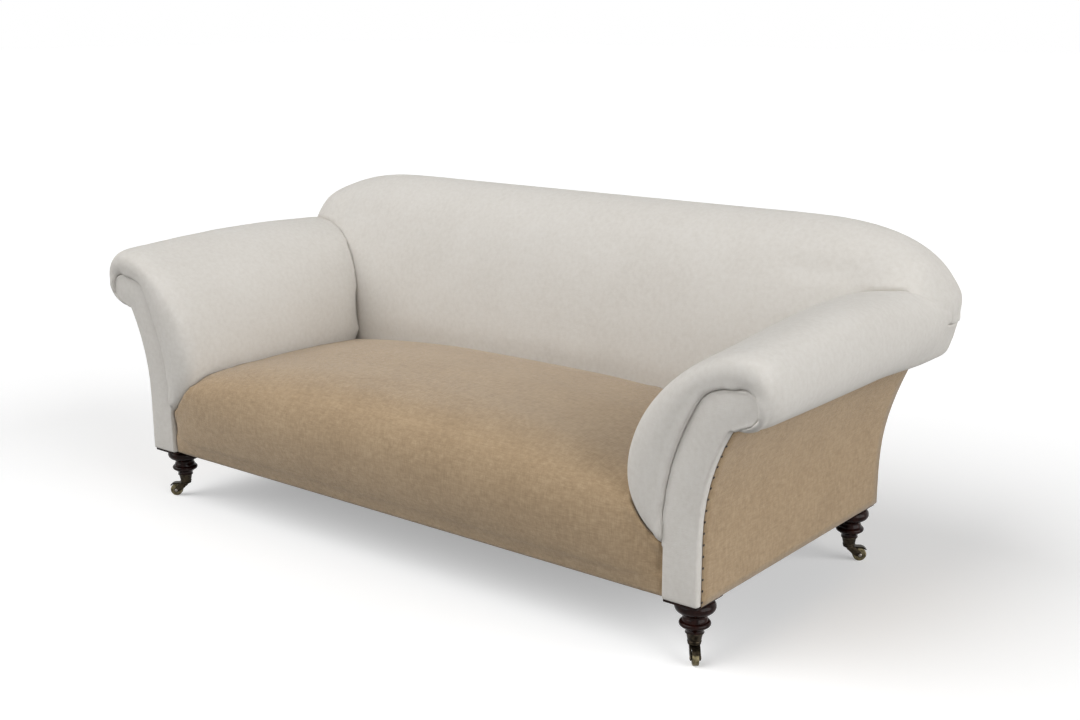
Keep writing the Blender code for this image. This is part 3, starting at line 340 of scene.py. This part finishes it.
def wood_finish(name, tones, grain, roughness, shine):
    """Polished or planed wood with streaks; grain says how fine they are along each axis."""
    made, tree, shader, places = new_finish(name)
    streak = noise(tree, places["Object"], scale=1.0, detail=4.0, stretch=grain)
    cloud = noise(tree, places["Object"], scale=22.0)
    tone = total(tree, [calc(tree, "MULTIPLY", streak, 0.7), calc(tree, "MULTIPLY", cloud, 0.3)])
    feed(tree, shader.inputs["Base Color"], ramp(tree, tone, (0.35, 0.65), tones))
    feed(tree, shader.inputs["Roughness"], calc(tree, "MULTIPLY_ADD", cloud, 0.12, roughness - 0.06))
    shader.inputs["Specular IOR Level"].default_value = shine
    feed(tree, shader.inputs["Normal"], bump(tree, streak, strength=0.12, distance=0.0006))
    return made


def metal_finish(name, tones, roughness):
    """Stained metal."""
    made, tree, shader, places = new_finish(name)
    stain = noise(tree, places["Object"], scale=120.0, detail=4.0)
    feed(tree, shader.inputs["Base Color"], ramp(tree, stain, (0.35, 0.6), tones))
    feed(tree, shader.inputs["Roughness"], calc(tree, "MULTIPLY_ADD", stain, 0.3, roughness - 0.15))
    shader.inputs["Metallic"].default_value = 1.0
    grain = noise(tree, places["Object"], scale=400.0)
    feed(tree, shader.inputs["Normal"], bump(tree, grain, strength=0.1, distance=0.0003))
    return made


FINISHES = {
    name: make(name, **look)
    for make, looks in ((cloth_finish, CLOTHS), (wood_finish, WOODS), (metal_finish, METALS))
    for name, look in looks.items()
}


# Pieces


def finish_piece(obj, slot=None, finish=None, body="sofa", nodes=()):
    """Gives a piece its finish, the one named after its slot unless another finish is given, sets it in its
    body, and hides the nodes that it stands for.
    """
    obj.data.materials.clear()
    obj.data.materials.append(FINISHES[finish or slot])
    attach(obj, body)
    if nodes:
        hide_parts(*nodes)


def from_bmesh(name, shape, smooth=None):
    """A piece from a shape; edges sharper than smooth, in degrees, stay sharp."""
    mesh = bpy.data.meshes.new(name)
    shape.to_mesh(mesh)
    shape.free()
    obj = bpy.data.objects.new(name, mesh)
    bpy.context.scene.collection.objects.link(obj)
    if smooth is not None:
        mesh.shade_smooth()
        mesh.set_sharp_from_angle(angle=math.radians(smooth))
    return obj


def settle(obj):
    """Makes what the modifiers give the piece's own mesh."""
    depsgraph = bpy.context.evaluated_depsgraph_get()
    mesh = bpy.data.meshes.new_from_object(obj.evaluated_get(depsgraph))
    old = obj.data
    obj.modifiers.clear()
    obj.data = mesh
    bpy.data.meshes.remove(old)


def node_copy(name, node):
    shape = bmesh.new()
    shape.from_mesh(frame["nodes"][node].data)
    bmesh.ops.remove_doubles(shape, verts=shape.verts, dist=1e-5)
    return from_bmesh(name, shape)


def points_by(obj, nodes, reach):
    """Points of a piece that lie on some of the solids round it."""
    places, faces = [], []
    for name in nodes:
        solid = frame["nodes"][name].data
        faces += [[len(places) + i for i in p.vertices] for p in solid.polygons]
        places += [v.co for v in solid.vertices]
    tree = BVHTree.FromPolygons(places, faces)
    return [v.index for v in obj.data.vertices if tree.find_nearest(v.co, reach)[0]]


def neighbours(node, reach):
    """Nodes whose boxes come near the box of a node."""
    low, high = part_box(node)

    def comes_near(other):
        other_low, other_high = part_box(other)
        return all(other_low[i] < high[i] + reach and other_high[i] > low[i] - reach for i in range(3))

    return [other for other in frame["nodes"] if other != node and comes_near(other)]


# Stuffed pads


def numbers(items, key, kind=float):
    """One value of all points or edges of a mesh, as rows."""
    width = len(getattr(items[0], key))
    flat = np.empty(len(items) * width, dtype=kind)
    items.foreach_get(key, flat)
    return flat.reshape(-1, width)


def spread(values, edges, rounds, held=()):
    """Averages rows of values along the edges of a mesh, and keeps them at none on the held points."""
    count = len(values)
    links = np.maximum(np.bincount(edges.ravel(), minlength=count), 1)[:, None]
    a, b = edges.T
    for _ in range(rounds):
        near = [np.bincount(a, column[b], count) + np.bincount(b, column[a], count) for column in values.T]
        values = 0.5 * values + 0.5 * np.stack(near, 1) / links
        if len(held):
            values[held] = 0.0
    return values


def remesh(obj, voxel):
    step = obj.modifiers.new("voxels", "REMESH")
    step.mode = "VOXEL"
    step.voxel_size = voxel
    settle(obj)


def smooth_out(obj, rounds):
    """Rounds the facets off, less near the hem; each second step grows what the first one shrank."""
    loose = obj.vertex_groups.new(name="loose")
    for point in obj.data.vertices:
        loose.add([point.index], smoothstep((point.co.z - HEM) / HEM_KEPT), "REPLACE")
    for _ in range(rounds):
        for factor in (SHRINK, GROW):
            step = obj.modifiers.new("rounding", "SMOOTH")
            step.vertex_group = "loose"
            step.factor = factor
            step.iterations = ROUND_STEPS
    settle(obj)
    obj.vertex_groups.clear()


def fair(obj):
    """Takes the facets of the solid out of a pad, away from its edges, without shrinking it."""
    points, normals = (numbers(obj.data.vertices, key) for key in ("co", "normal"))
    edges = numbers(obj.data.edges, "vertices", int)
    mean = spread(normals, edges, rounds=20)
    mean /= np.linalg.norm(mean, axis=1)[:, None]
    flat = ease((normals * mean).sum(1), 0.93, 0.985)
    clear = ease(points[:, 2], HEM, HEM + HEM_KEPT)
    by_edge = spread((1 - flat * clear)[:, None], edges, rounds=50)
    share = 1 - ease(by_edge, 0.02, 0.10)
    soft = spread(points, edges, FAIR_ROUNDS)
    soft += spread(points - soft, edges, FAIR_ROUNDS)
    obj.data.vertices.foreach_set("co", (points + share * (soft - points)).ravel())
    obj.data.update()


def swelling(obj, held, most):
    """Points of a pad, and how far each goes outwards when its cloth is blown up by the stuffing."""
    before, normals = (numbers(obj.data.vertices, key) for key in ("co", "normal"))
    obj.vertex_groups.new(name="held").add(held, 1.0, "REPLACE")
    cloth = obj.modifiers.new("stuffing", "CLOTH")
    cloth.settings.use_pressure = True
    cloth.settings.uniform_pressure_force = SWELL_PRESSURE
    cloth.settings.vertex_group_mass = "held"
    cloth.settings.effector_weights.gravity = 0.0
    cloth.settings.tension_stiffness = 40
    cloth.settings.compression_stiffness = 4
    cloth.settings.bending_stiffness = 5.0
    cloth.point_cache.frame_start = 1
    cloth.point_cache.frame_end = SWELL_FRAMES
    for number in range(1, SWELL_FRAMES + 1):
        bpy.context.scene.frame_set(number)
    settle(obj)
    bpy.context.scene.frame_set(1)
    moved = numbers(obj.data.vertices, "co") - before
    return before, np.clip((moved * normals).sum(1), 0.0, most)


def swell(obj, node, voxel, most):
    """Swells a pad by the even part of how a coarser copy of it swells."""
    near = neighbours(node, TOUCHING)
    copy = node_copy("swelling", node)
    remesh(copy, COARSE * voxel)
    smooth_out(copy, COARSE_ROUNDING)
    places, rises = swelling(copy, points_by(copy, near, 0.5 * COARSE * voxel), most)
    bpy.data.objects.remove(copy)
    tree = KDTree(len(places))
    for i, place in enumerate(places):
        tree.insert(place, i)
    tree.balance()
    points, normals = (numbers(obj.data.vertices, key) for key in ("co", "normal"))
    rise = np.empty(len(points))
    for i, point in enumerate(points):
        found = tree.find_n(point, 3)
        shares = [1.0 / (distance + 1e-4) for _, _, distance in found]
        rise[i] = sum(rises[k] * share for (_, k, _), share in zip(found, shares)) / sum(shares)
    held = points_by(obj, near, 0.5 * voxel)
    rise = spread(rise[:, None], numbers(obj.data.edges, "vertices", int), EVEN_ROUNDS, held)
    obj.data.vertices.foreach_set("co", (points + normals * rise).ravel())


def measures(places):
    """Distance from the middle, depth and height of each place, and its side."""
    return np.abs(places[:, 0]), places[:, 1], places[:, 2], np.sign(places[:, 0])


def lift_seam(places):
    """Raises the seam between arm and back at the outer ends of the rolls."""
    x, y, z, _ = measures(places)
    at_end = ease(x, 0.90, 0.99) * ease(y, 0.28, 0.35)
    by_seam = ease(z, 0.515, 0.566) * (1 - ease(z, 0.566, 0.70))
    places[:, 2] += SEAM_LIFT * at_end * by_seam


def fill_shoulders(places):
    """Brings the front of the back's shoulders forward over the arms."""
    x, y, z, side = measures(places)
    start = 0.655 - 0.055 * ease(x, 0.92, 0.98)
    at_end = ease(x, 0.80, 0.90) * (1 - ease(y, 0.34, 0.42))
    share = at_end * ease(z - start, 0.0, 0.035) * (1 - ease(z, 0.73, 0.80))
    places[:, 1] -= SHOULDER_FORWARD * share
    places[:, 0] += side * SHOULDER_OUT * share * (1 - ease(x, 0.94, 1.0))


def tuck_ends(places):
    """Draws in the lower edges of the back's ends, so that they run on into the arms."""
    x, y, z, side = measures(places)
    share = ease(x, 0.92, 0.98) * ease(y, 0.36, 0.42) * (1 - ease(z, 0.575, 0.66))
    places[:, 1] -= END_TUCK * share
    places[:, 0] -= side * 0.4 * END_TUCK * share


def fill_arm_ends(places):
    """Makes the arm rolls fuller at the bottom, towards the back."""
    x, y, z, side = measures(places)
    share = ease(x, 0.918, 0.96) * ease(y, 0.05, 0.30) * (1 - ease(z, 0.525, 0.562))
    places[:, 2] -= ARM_END_FILL * share
    places[:, 0] += side * 0.4 * ARM_END_FILL * share * (1 - ease(x, 0.98, 1.02))
    places[:, 1] += 0.6 * ARM_END_FILL * share * ease(y, 0.34, 0.42)


def raise_facing(places):
    """Brings the front of a facing nearer to the front of the arm round it."""
    places[:, 1] -= FACING_RAISE * ease(-places[:, 1], -FRONT - FACING_FRONT, -FRONT)


def stuffed(name, node, slot, voxel, rounding, most, fill, shaping=(), sewn_to=None):
    """A padded piece made from its solid: remeshed, rounded, swollen against its cloth, and shaped."""
    obj = node_copy(name, node)
    remesh(obj, voxel)
    if sewn_to:
        for i in points_by(obj, [sewn_to], voxel):
            point = obj.data.vertices[i]
            point.co += point.normal * SEAM_PRESS
    smooth_out(obj, rounding)
    if not sewn_to:
        fair(obj)
    swell(obj, node, voxel, most)
    places = numbers(obj.data.vertices, "co")
    for shape in shaping:
        shape(places)
    obj.data.vertices.foreach_set("co", places.ravel())
    obj.data.update()
    obj.data.shade_smooth()
    finish_piece(obj, slot, nodes=[node])


def build_pads():
    stuffed("back", "back_pad", "calico", **BACK_STUFFING, shaping=(tuck_ends, lift_seam, fill_shoulders))
    stuffed("seat", "seat_pad", "hessian", **SEAT_STUFFING)
    for hand in SIDES:
        arm, facing = f"{hand}_arm_pad", f"{hand}_arm_facing"
        stuffed(f"{hand}_arm", arm, "calico", **ARM_STUFFING, shaping=(fill_arm_ends, lift_seam))
        stuffed(f"{hand}_facing", facing, "calico", **FACING_STUFFING, shaping=(raise_facing,), sewn_to=arm)


# Thin covers and tacks


def stretched_panel(line, step, count):
    """A sheet drawn from a line of points, in count steps along a vector."""
    shape = bmesh.new()
    points = [shape.verts.new(p) for p in line]
    edges = [shape.edges.new(pair) for pair in zip(points, points[1:])]
    for _ in range(count):
        made = bmesh.ops.extrude_edge_only(shape, edges=edges)["geom"]
        fresh = {item for item in made if isinstance(item, bmesh.types.BMVert)}
        edges = [e for e in made if isinstance(e, bmesh.types.BMEdge) and fresh.issuperset(e.verts)]
        bmesh.ops.translate(shape, verts=list(fresh), vec=Vector(step) / count)
    bmesh.ops.recalc_face_normals(shape, faces=shape.faces)
    return shape


def finish_cover(name, shape, slot, node):
    """A tight cover of thin cloth, given the thickness of the cloth."""
    cover = from_bmesh(name, shape, CLOTH_SMOOTH)
    step = cover.modifiers.new("thickness", "SOLIDIFY")
    step.thickness = COVER_THICK
    step.offset = 0.0
    finish_piece(cover, slot, nodes=[node])


def build_outside_arms():
    """Hessian over the outsides of the arms, from the facings to the back."""
    first = FRONT + FACING_RETURN
    heights = [mix(HEM, TUCK_HEIGHT, i / ARM_ROWS) for i in range(ARM_ROWS + 1)]
    for hand, side in SIDES.items():
        line = [(side * (arm_edge(z) + COVER_THICK), 0, z) for z in heights]
        shape = stretched_panel(line, (0, 1, 0), ARM_COLUMNS)
        for point in shape.verts:
            point.co.y = mix(first, back_depth(point.co.z) - COVER_THICK, point.co.y)
        finish_cover(f"{hand}_outside_arm_cover", shape, "hessian", f"{hand}_outside_arm")


def build_outside_back():
    """Hessian from arm to arm over the raked back, up to where it is tucked in under the roll."""
    low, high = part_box("outside_back")
    proud = high.y - low.y - BACK_RAKE
    heights = [mix(HEM, BACK_CORNER, i / BACK_ROWS) for i in range(BACK_ROWS + 1)]
    outline = [(z, arm_edge(z) + proud) for z in heights] + BACK_TUCK
    line = [(-1, back_depth(z) + proud, z) for z, _ in outline]
    shape = stretched_panel(line, (2, 0, 0), BACK_COLUMNS)
    for point in shape.verts:
        point.co.x *= np.interp(point.co.z, *zip(*outline))
    finish_cover("outside_back_cover", shape, "hessian", "outside_back")


def build_bottom_lining():
    """A thin dark lining under the rails, cut away round the legs, that sags a little in the middle."""
    low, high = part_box("bottom_cloth")
    half = (high - low) / 2
    middle = (low + high) / 2
    shape = bmesh.new()
    bmesh.ops.create_grid(shape, x_segments=1, y_segments=1, size=1.0)
    bmesh.ops.scale(shape, verts=shape.verts, vec=(half.x, half.y, 1))
    bmesh.ops.translate(shape, verts=shape.verts, vec=middle)
    front_left, front_right, rear_left, _ = notches = [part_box(f"{corner}_leg") for corner in CORNERS]
    cuts = [(x, 0) for x in (front_left[1].x + LEG_ROOM, front_right[0].x - LEG_ROOM)]
    cuts += [(y, 1) for y in (front_left[1].y + LEG_ROOM, rear_left[0].y - LEG_ROOM)]
    cuts += [(mix(low.x, high.x, i / LINING_COLUMNS), 0) for i in range(1, LINING_COLUMNS)]
    cuts += [(mix(low.y, high.y, i / LINING_ROWS), 1) for i in range(1, LINING_ROWS)]
    for value, axis in cuts:
        way = Vector((1 - axis, axis, 0))
        everything = shape.verts[:] + shape.edges[:] + shape.faces[:]
        bmesh.ops.bisect_plane(shape, geom=everything, plane_co=way * value, plane_no=way, dist=1e-5)

    def over_a_leg(face):
        spot = face.calc_center_median()
        return any(a.x < spot.x < b.x and a.y < spot.y < b.y for a, b in notches)

    corners = [face for face in shape.faces if over_a_leg(face)]
    bmesh.ops.delete(shape, geom=corners, context="FACES")
    for point in shape.verts:
        across = 1 - ((point.co.x - middle.x) / half.x) ** 2
        along = 1 - ((point.co.y - middle.y) / half.y) ** 2
        point.co.z -= LINING_SAG * across * along
    finish_cover("bottom_lining", shape, "bottom_lining", "bottom_cloth")


def build_tacks():
    """Dark tacks along the outer edge of each facing."""
    straight = FLARE_START - HEM
    count = int((straight + FLARE_RADIUS * FLARE_TURN) / TACK_PITCH)
    size = Matrix.Diagonal((TACK_RADIUS, TACK_RADIUS, TACK_HEIGHT, 1.0))
    depth = FRONT + FACING_RETURN + 0.5 * TACK_RADIUS
    for hand, side in SIDES.items():
        shape = bmesh.new()
        for i in range(count):
            along = (i + TACK_START) * TACK_PITCH
            turn = max(along - straight, 0.0) / FLARE_RADIUS
            z = HEM + min(along, straight) + FLARE_RADIUS * math.sin(turn)
            place = Matrix.Translation((side * (arm_edge(z) + 1.5 * COVER_THICK), depth, z))
            turned = Matrix.Rotation(side * (math.pi / 2 + turn), 4, "Y")
            bmesh.ops.create_uvsphere(
                shape, u_segments=8, v_segments=5, radius=1.0, matrix=place @ turned @ size)
        finish_piece(from_bmesh(f"{hand}_tacks", shape, CLOTH_SMOOTH), finish="tack")


# Legs and castors


def arc(centre, radii, start, end, steps):
    """Points (radius, height) on an oval, from start to end in degrees."""
    angles = [math.radians(mix(start, end, i / steps)) for i in range(steps + 1)]
    return [(centre[0] + radii[0] * math.cos(a), centre[1] + radii[1] * math.sin(a)) for a in angles]


def add_turned(shape, profile, sides, matrix, closed=False):
    """Adds a profile of (radius, height) turned about the Z axis of a matrix."""
    points = [shape.verts.new((r, 0, z)) for r, z in profile]
    edges = [shape.edges.new(pair) for pair in zip(points, points[1:])]
    if closed:
        edges.append(shape.edges.new((points[-1], points[0])))
    before = set(shape.verts) - set(points)
    bmesh.ops.spin(
        shape, geom=points + edges, cent=(0, 0, 0), axis=(0, 0, 1),
        angle=2 * math.pi, steps=sides, use_merge=True)
    fresh = [point for point in shape.verts if point not in before]
    bmesh.ops.remove_doubles(shape, verts=fresh, dist=1e-6)
    fresh = [point for point in shape.verts if point not in before]
    bmesh.ops.transform(shape, matrix=matrix, verts=fresh)


def add_board(shape, low, high, matrix, bevel):
    """Adds a bevelled block between two corners."""
    place = Matrix.Translation((low + high) / 2) @ Matrix.Diagonal((*(high - low), 1.0))
    made = bmesh.ops.create_cube(shape, size=1.0, matrix=matrix @ place)
    edges = list({edge for point in made["verts"] for edge in point.link_edges})
    bmesh.ops.bevel(shape, geom=edges, offset=bevel, affect="EDGES", segments=2, profile=0.5, material=-1)


def add_slab(shape, outline, near, far, matrix):
    """Adds a plate with an outline of (x, z) between two depths, and gives its points."""
    face = shape.faces.new([shape.verts.new((x, near, z)) for x, z in outline])
    grown = bmesh.ops.extrude_face_region(shape, geom=[face])["geom"]
    fresh = [item for item in grown if isinstance(item, bmesh.types.BMVert)]
    bmesh.ops.translate(shape, verts=fresh, vec=(0, far - near, 0))
    points = list(face.verts) + fresh
    bmesh.ops.transform(shape, matrix=matrix, verts=points)
    return set(points)


def closed_piece(name, shape, slot, body, node, finish=None):
    bmesh.ops.recalc_face_normals(shape, faces=shape.faces)
    finish_piece(from_bmesh(name, shape, TURNED_SMOOTH), slot, finish, body, [node])


def leg_profile(block, rim):
    """Turned leg: spigot, bulb, neck, ring and taper, down into the castor's cup."""
    spigot = [(0.0, block + 0.059), (0.0115, block + 0.059), (0.012, block + 0.058), (0.012, block)]
    shoulder = [(0.034, block)]
    bulb = arc((0.0245, block - 0.0165), (0.0185, 0.0155), 66, -72, 18)
    neck = arc((0.0330, block - 0.0385), (0.0085, 0.0075), 140, 215, 8)
    ring = arc((0.0262, block - 0.0545), (0.0068, 0.0062), 85, -75, 12)
    taper = arc((0.0330, rim - 0.0005), (0.0140, 0.0130), 128, 180, 8)
    end = [(0.0150, rim - 0.004), (0.0, rim - 0.004)]
    return spigot + shoulder + bulb + neck + ring + taper + end


def cup_profile(foot, rim):
    """Brass cup with a beaded rim and a hole in its floor for the spindle."""
    bead = arc((0.0180, rim - 0.0016), (0.0019, 0.0016), 90, -70, 8)
    foot_bead = arc((0.0133, foot + 0.0022), (0.0016, 0.0022), 60, -80, 6)
    inside = [(0.0045, foot), (0.0045, foot + 0.0035), (0.0118, foot + 0.0035), (0.0164, rim - 0.001)]
    return [(0.0166, rim)] + bead + [(0.0170, rim - 0.0045)] + foot_bead + inside


def horn_profile(plate):
    """Spindle and round plate of a horn, from the bottom of the plate."""
    top = plate + 0.0200
    spindle = [(0.0, top), (0.0034, top), (0.0040, top - 0.0006), (0.0040, plate + 2 * PLATE_HALF)]
    rim = arc((0.0125, plate + PLATE_HALF), (0.0015, PLATE_HALF), 90, -90, 6)
    return spindle + rim + [(0.0, plate)]


def wheel_profile(radius, width):
    """Castor wheel: bore, proud hub, dished sides and rounded tread."""
    half = width / 2
    hub = arc((0.0046, half - 0.0006), (0.0008, 0.0006), 90, 0, 4)
    tread = arc((radius - 0.0035, half - 0.0030), (0.0035, 0.0030), 100, 15, 8)
    side = [(0.0027, half)] + hub + [(0.0060, 0.70 * half), (0.72 * radius, 0.70 * half)] + tread
    return side + [(r, -z) for r, z in reversed(side)]


def axle_profile(reach):
    """Pin with a round head at each end."""
    head = arc((0.0, reach), (0.0042, 0.0014), 0, 90, 5)
    half = [(0.0025, 0.0), (0.0025, reach)] + head
    return [(r, -z) for r, z in reversed(half)] + half[1:]


def add_cheek(shape, matrix, trail, drop, side):
    """Adds one side of the fork: a curved arm from the plate down to a round boss at the axle."""
    boss = arc((trail, 0.0), (0.0062, 0.0062), 55, -150, 14)
    reach = 0.0088
    heel = [(mix(boss[-1][0], -reach, t), mix(boss[-1][1], drop, t**1.7)) for t in (0.25, 0.5, 0.75, 1.0)]
    crown = [(mix(reach, boss[0][0], t), mix(drop, boss[0][1], t**1.6)) for t in (0.0, 0.3, 0.6, 0.8)]
    points = add_slab(shape, boss + heel + crown, side * CHEEK_NEAR, side * CHEEK_FAR, matrix)
    sides = [face for face in shape.faces if len(face.verts) > 8 and points.issuperset(face.verts)]
    rims = list({edge for face in sides for edge in face.edges})
    bmesh.ops.bevel(shape, geom=rims, offset=CHEEK_BEVEL, affect="EDGES", segments=2, profile=0.5, material=-1)


def add_web(shape, matrix, trail, drop, radius):
    """Adds the web of the fork, which runs from the plate over the wheel."""
    under = arc((trail, 0.0), (radius + WEB_GAP,) * 2, 40, 150, 12)
    neck = [(-0.004, 0.6 * drop), (-0.0075, drop), (0.010, drop)]
    over = arc((trail, 0.0), (radius + WEB_GAP + WEB_THICK,) * 2, 78, 40, 5)
    add_slab(shape, under + neck + over, -CHEEK_NEAR, CHEEK_NEAR, matrix)


def build_leg(corner):
    """A turned leg under a thin square block."""
    low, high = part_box(f"{corner}_castor_cup")
    axis = (low + high) / 2
    post = Matrix.Translation((axis.x, axis.y, 0))
    block = HEM - BLOCK_DROP
    half = BLOCK_SIDE / 2
    front = FRONT - axis.y + BLOCK_INSET if "front" in corner else -half
    shape = bmesh.new()
    add_turned(shape, leg_profile(block, high.z), 48, post)
    block_low, block_high = Vector((-half, front, block)), Vector((half, half, HEM - BLOCK_GAP))
    add_board(shape, block_low, block_high, post, BLOCK_BEVEL)
    closed_piece(f"{corner}_turned_leg", shape, "mahogany", "sofa", f"{corner}_leg")


def build_castor(corner):
    """A castor: its cup on the leg, and the horn, axle pin and wheel at their rest direction."""
    horn, wheel = f"{corner}_horn", f"{corner}_wheel"
    cup_low, cup_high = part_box(f"{corner}_castor_cup")
    axis = (cup_low + cup_high) / 2
    wheel_low, wheel_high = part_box(f"{corner}_castor_wheel")
    hub = (wheel_low + wheel_high) / 2
    way = Vector((hub.x - axis.x, hub.y - axis.y))
    trail = way.length
    post = Matrix.Translation((axis.x, axis.y, 0))
    swivel = post @ Matrix.Rotation(math.atan2(way.y, way.x), 4, "Z")
    fork = swivel @ Matrix.Translation((0, 0, hub.z))
    roll = swivel @ Matrix.Translation((trail, 0, hub.z)) @ Matrix.Rotation(math.pi / 2, 4, "X")

    shape = bmesh.new()
    add_turned(shape, cup_profile(cup_low.z, cup_high.z), 36, post, closed=True)
    closed_piece(f"{corner}_cup", shape, "aged_brass", "sofa", f"{corner}_castor_cup", "dark_brass")

    plate = cup_low.z - PLATE_DROP
    drop = plate + PLATE_HALF - hub.z
    shape = bmesh.new()
    add_turned(shape, horn_profile(plate), 32, swivel)
    for side in (-1, 1):
        add_cheek(shape, fork, trail, drop, side)
    add_web(shape, fork, trail, drop, hub.z)
    closed_piece(f"{corner}_horn_casting", shape, "aged_brass", horn, f"{corner}_castor_horn", "dark_brass")

    shape = bmesh.new()
    add_turned(shape, axle_profile(CHEEK_FAR), 16, roll)
    closed_piece(f"{corner}_axle_pin", shape, "axle_steel", horn, f"{corner}_castor_axle")

    shape = bmesh.new()
    add_turned(shape, wheel_profile(hub.z, WHEEL_WIDTH), 48, roll, closed=True)
    closed_piece(f"{corner}_brass_wheel", shape, "aged_brass", wheel, f"{corner}_castor_wheel")


# Studio


def seen_share(tree):
    """1 for what the camera sees, straight or by a mirror or glass, and 0 for other light."""
    path = add(tree, "ShaderNodeLightPath")
    seen = total(tree, [path.outputs[n] for n in ("Is Camera Ray", "Is Glossy Ray", "Is Transmission Ray")])
    return calc(tree, "MINIMUM", seen, 1.0)


def build_floor():
    """A pale floor that is white to the eye and keeps the soft shadow of the sofa."""
    shape = bmesh.new()
    bmesh.ops.create_grid(shape, x_segments=1, y_segments=1, size=FLOOR_REACH)
    floor = from_bmesh("floor", shape)
    made, tree, shader, _ = new_finish("studio_floor")
    seen = seen_share(tree)
    tone = calc(tree, "MULTIPLY_ADD", seen, FLOOR_TONE - FLOOR_BOUNCE, FLOOR_BOUNCE)
    feed(tree, shader.inputs["Base Color"], tone)
    shader.inputs["Roughness"].default_value = 1.0
    shader.inputs["Specular IOR Level"].default_value = 0.0
    shader.inputs["Emission Color"].default_value = WHITE
    feed(tree, shader.inputs["Emission Strength"], calc(tree, "MULTIPLY", seen, FLOOR_GLOW))
    floor.data.materials.append(made)


def build_light():
    """Soft light from all round and two broad lamps, low on the right and higher at the front."""
    world = bpy.data.worlds.new("studio")
    bpy.context.scene.world = world
    world.use_nodes = True
    tree = world.node_tree
    soft = tree.nodes["Background"]
    soft.inputs["Color"].default_value = WHITE
    soft.inputs["Strength"].default_value = FILL_LIGHT
    white = add(tree, "ShaderNodeBackground")
    white.inputs["Color"].default_value = WHITE
    share = add(tree, "ShaderNodeMixShader")
    feed(tree, share.inputs[0], seen_share(tree))
    feed(tree, share.inputs[1], soft.outputs[0])
    feed(tree, share.inputs[2], white.outputs[0])
    feed(tree, tree.nodes["World Output"].inputs["Surface"], share.outputs[0])
    for name, (strength, way) in LAMPS.items():
        data = bpy.data.lights.new(name, "SUN")
        data.energy = strength
        data.angle = math.radians(LAMP_ANGLE)
        lamp = bpy.data.objects.new(name, data)
        lamp.rotation_euler = Vector(way).to_track_quat("Z", "Y").to_euler()
        bpy.context.scene.collection.objects.link(lamp)


def build_camera():
    data = bpy.data.cameras.new("camera")
    data.lens = CAMERA_LENS
    data.sensor_width = SENSOR_WIDTH
    obj = bpy.data.objects.new("camera", data)
    obj.location = CAMERA_PLACE
    obj.rotation_euler = (math.radians(90 - CAMERA_PITCH), 0, math.radians(CAMERA_YAW))
    bpy.context.scene.collection.objects.link(obj)
    bpy.context.scene.camera = obj


def dress_inner_nodes():
    """The frame, webbing and springs inside keep their solids and get finishes of their own."""
    slots = {entry["node"]: entry["material_slot"] for entry in frame["record"]["subparts"]}
    for name, obj in frame["nodes"].items():
        obj.data.materials.clear()
        obj.data.materials.append(FINISHES[slots[name]])


bpy.context.scene.view_settings.view_transform = "Standard"
build_camera()
build_light()
build_floor()
dress_inner_nodes()
build_pads()
build_outside_arms()
build_outside_back()
build_bottom_lining()
build_tacks()
for corner in CORNERS:
    build_leg(corner)
    build_castor(corner)
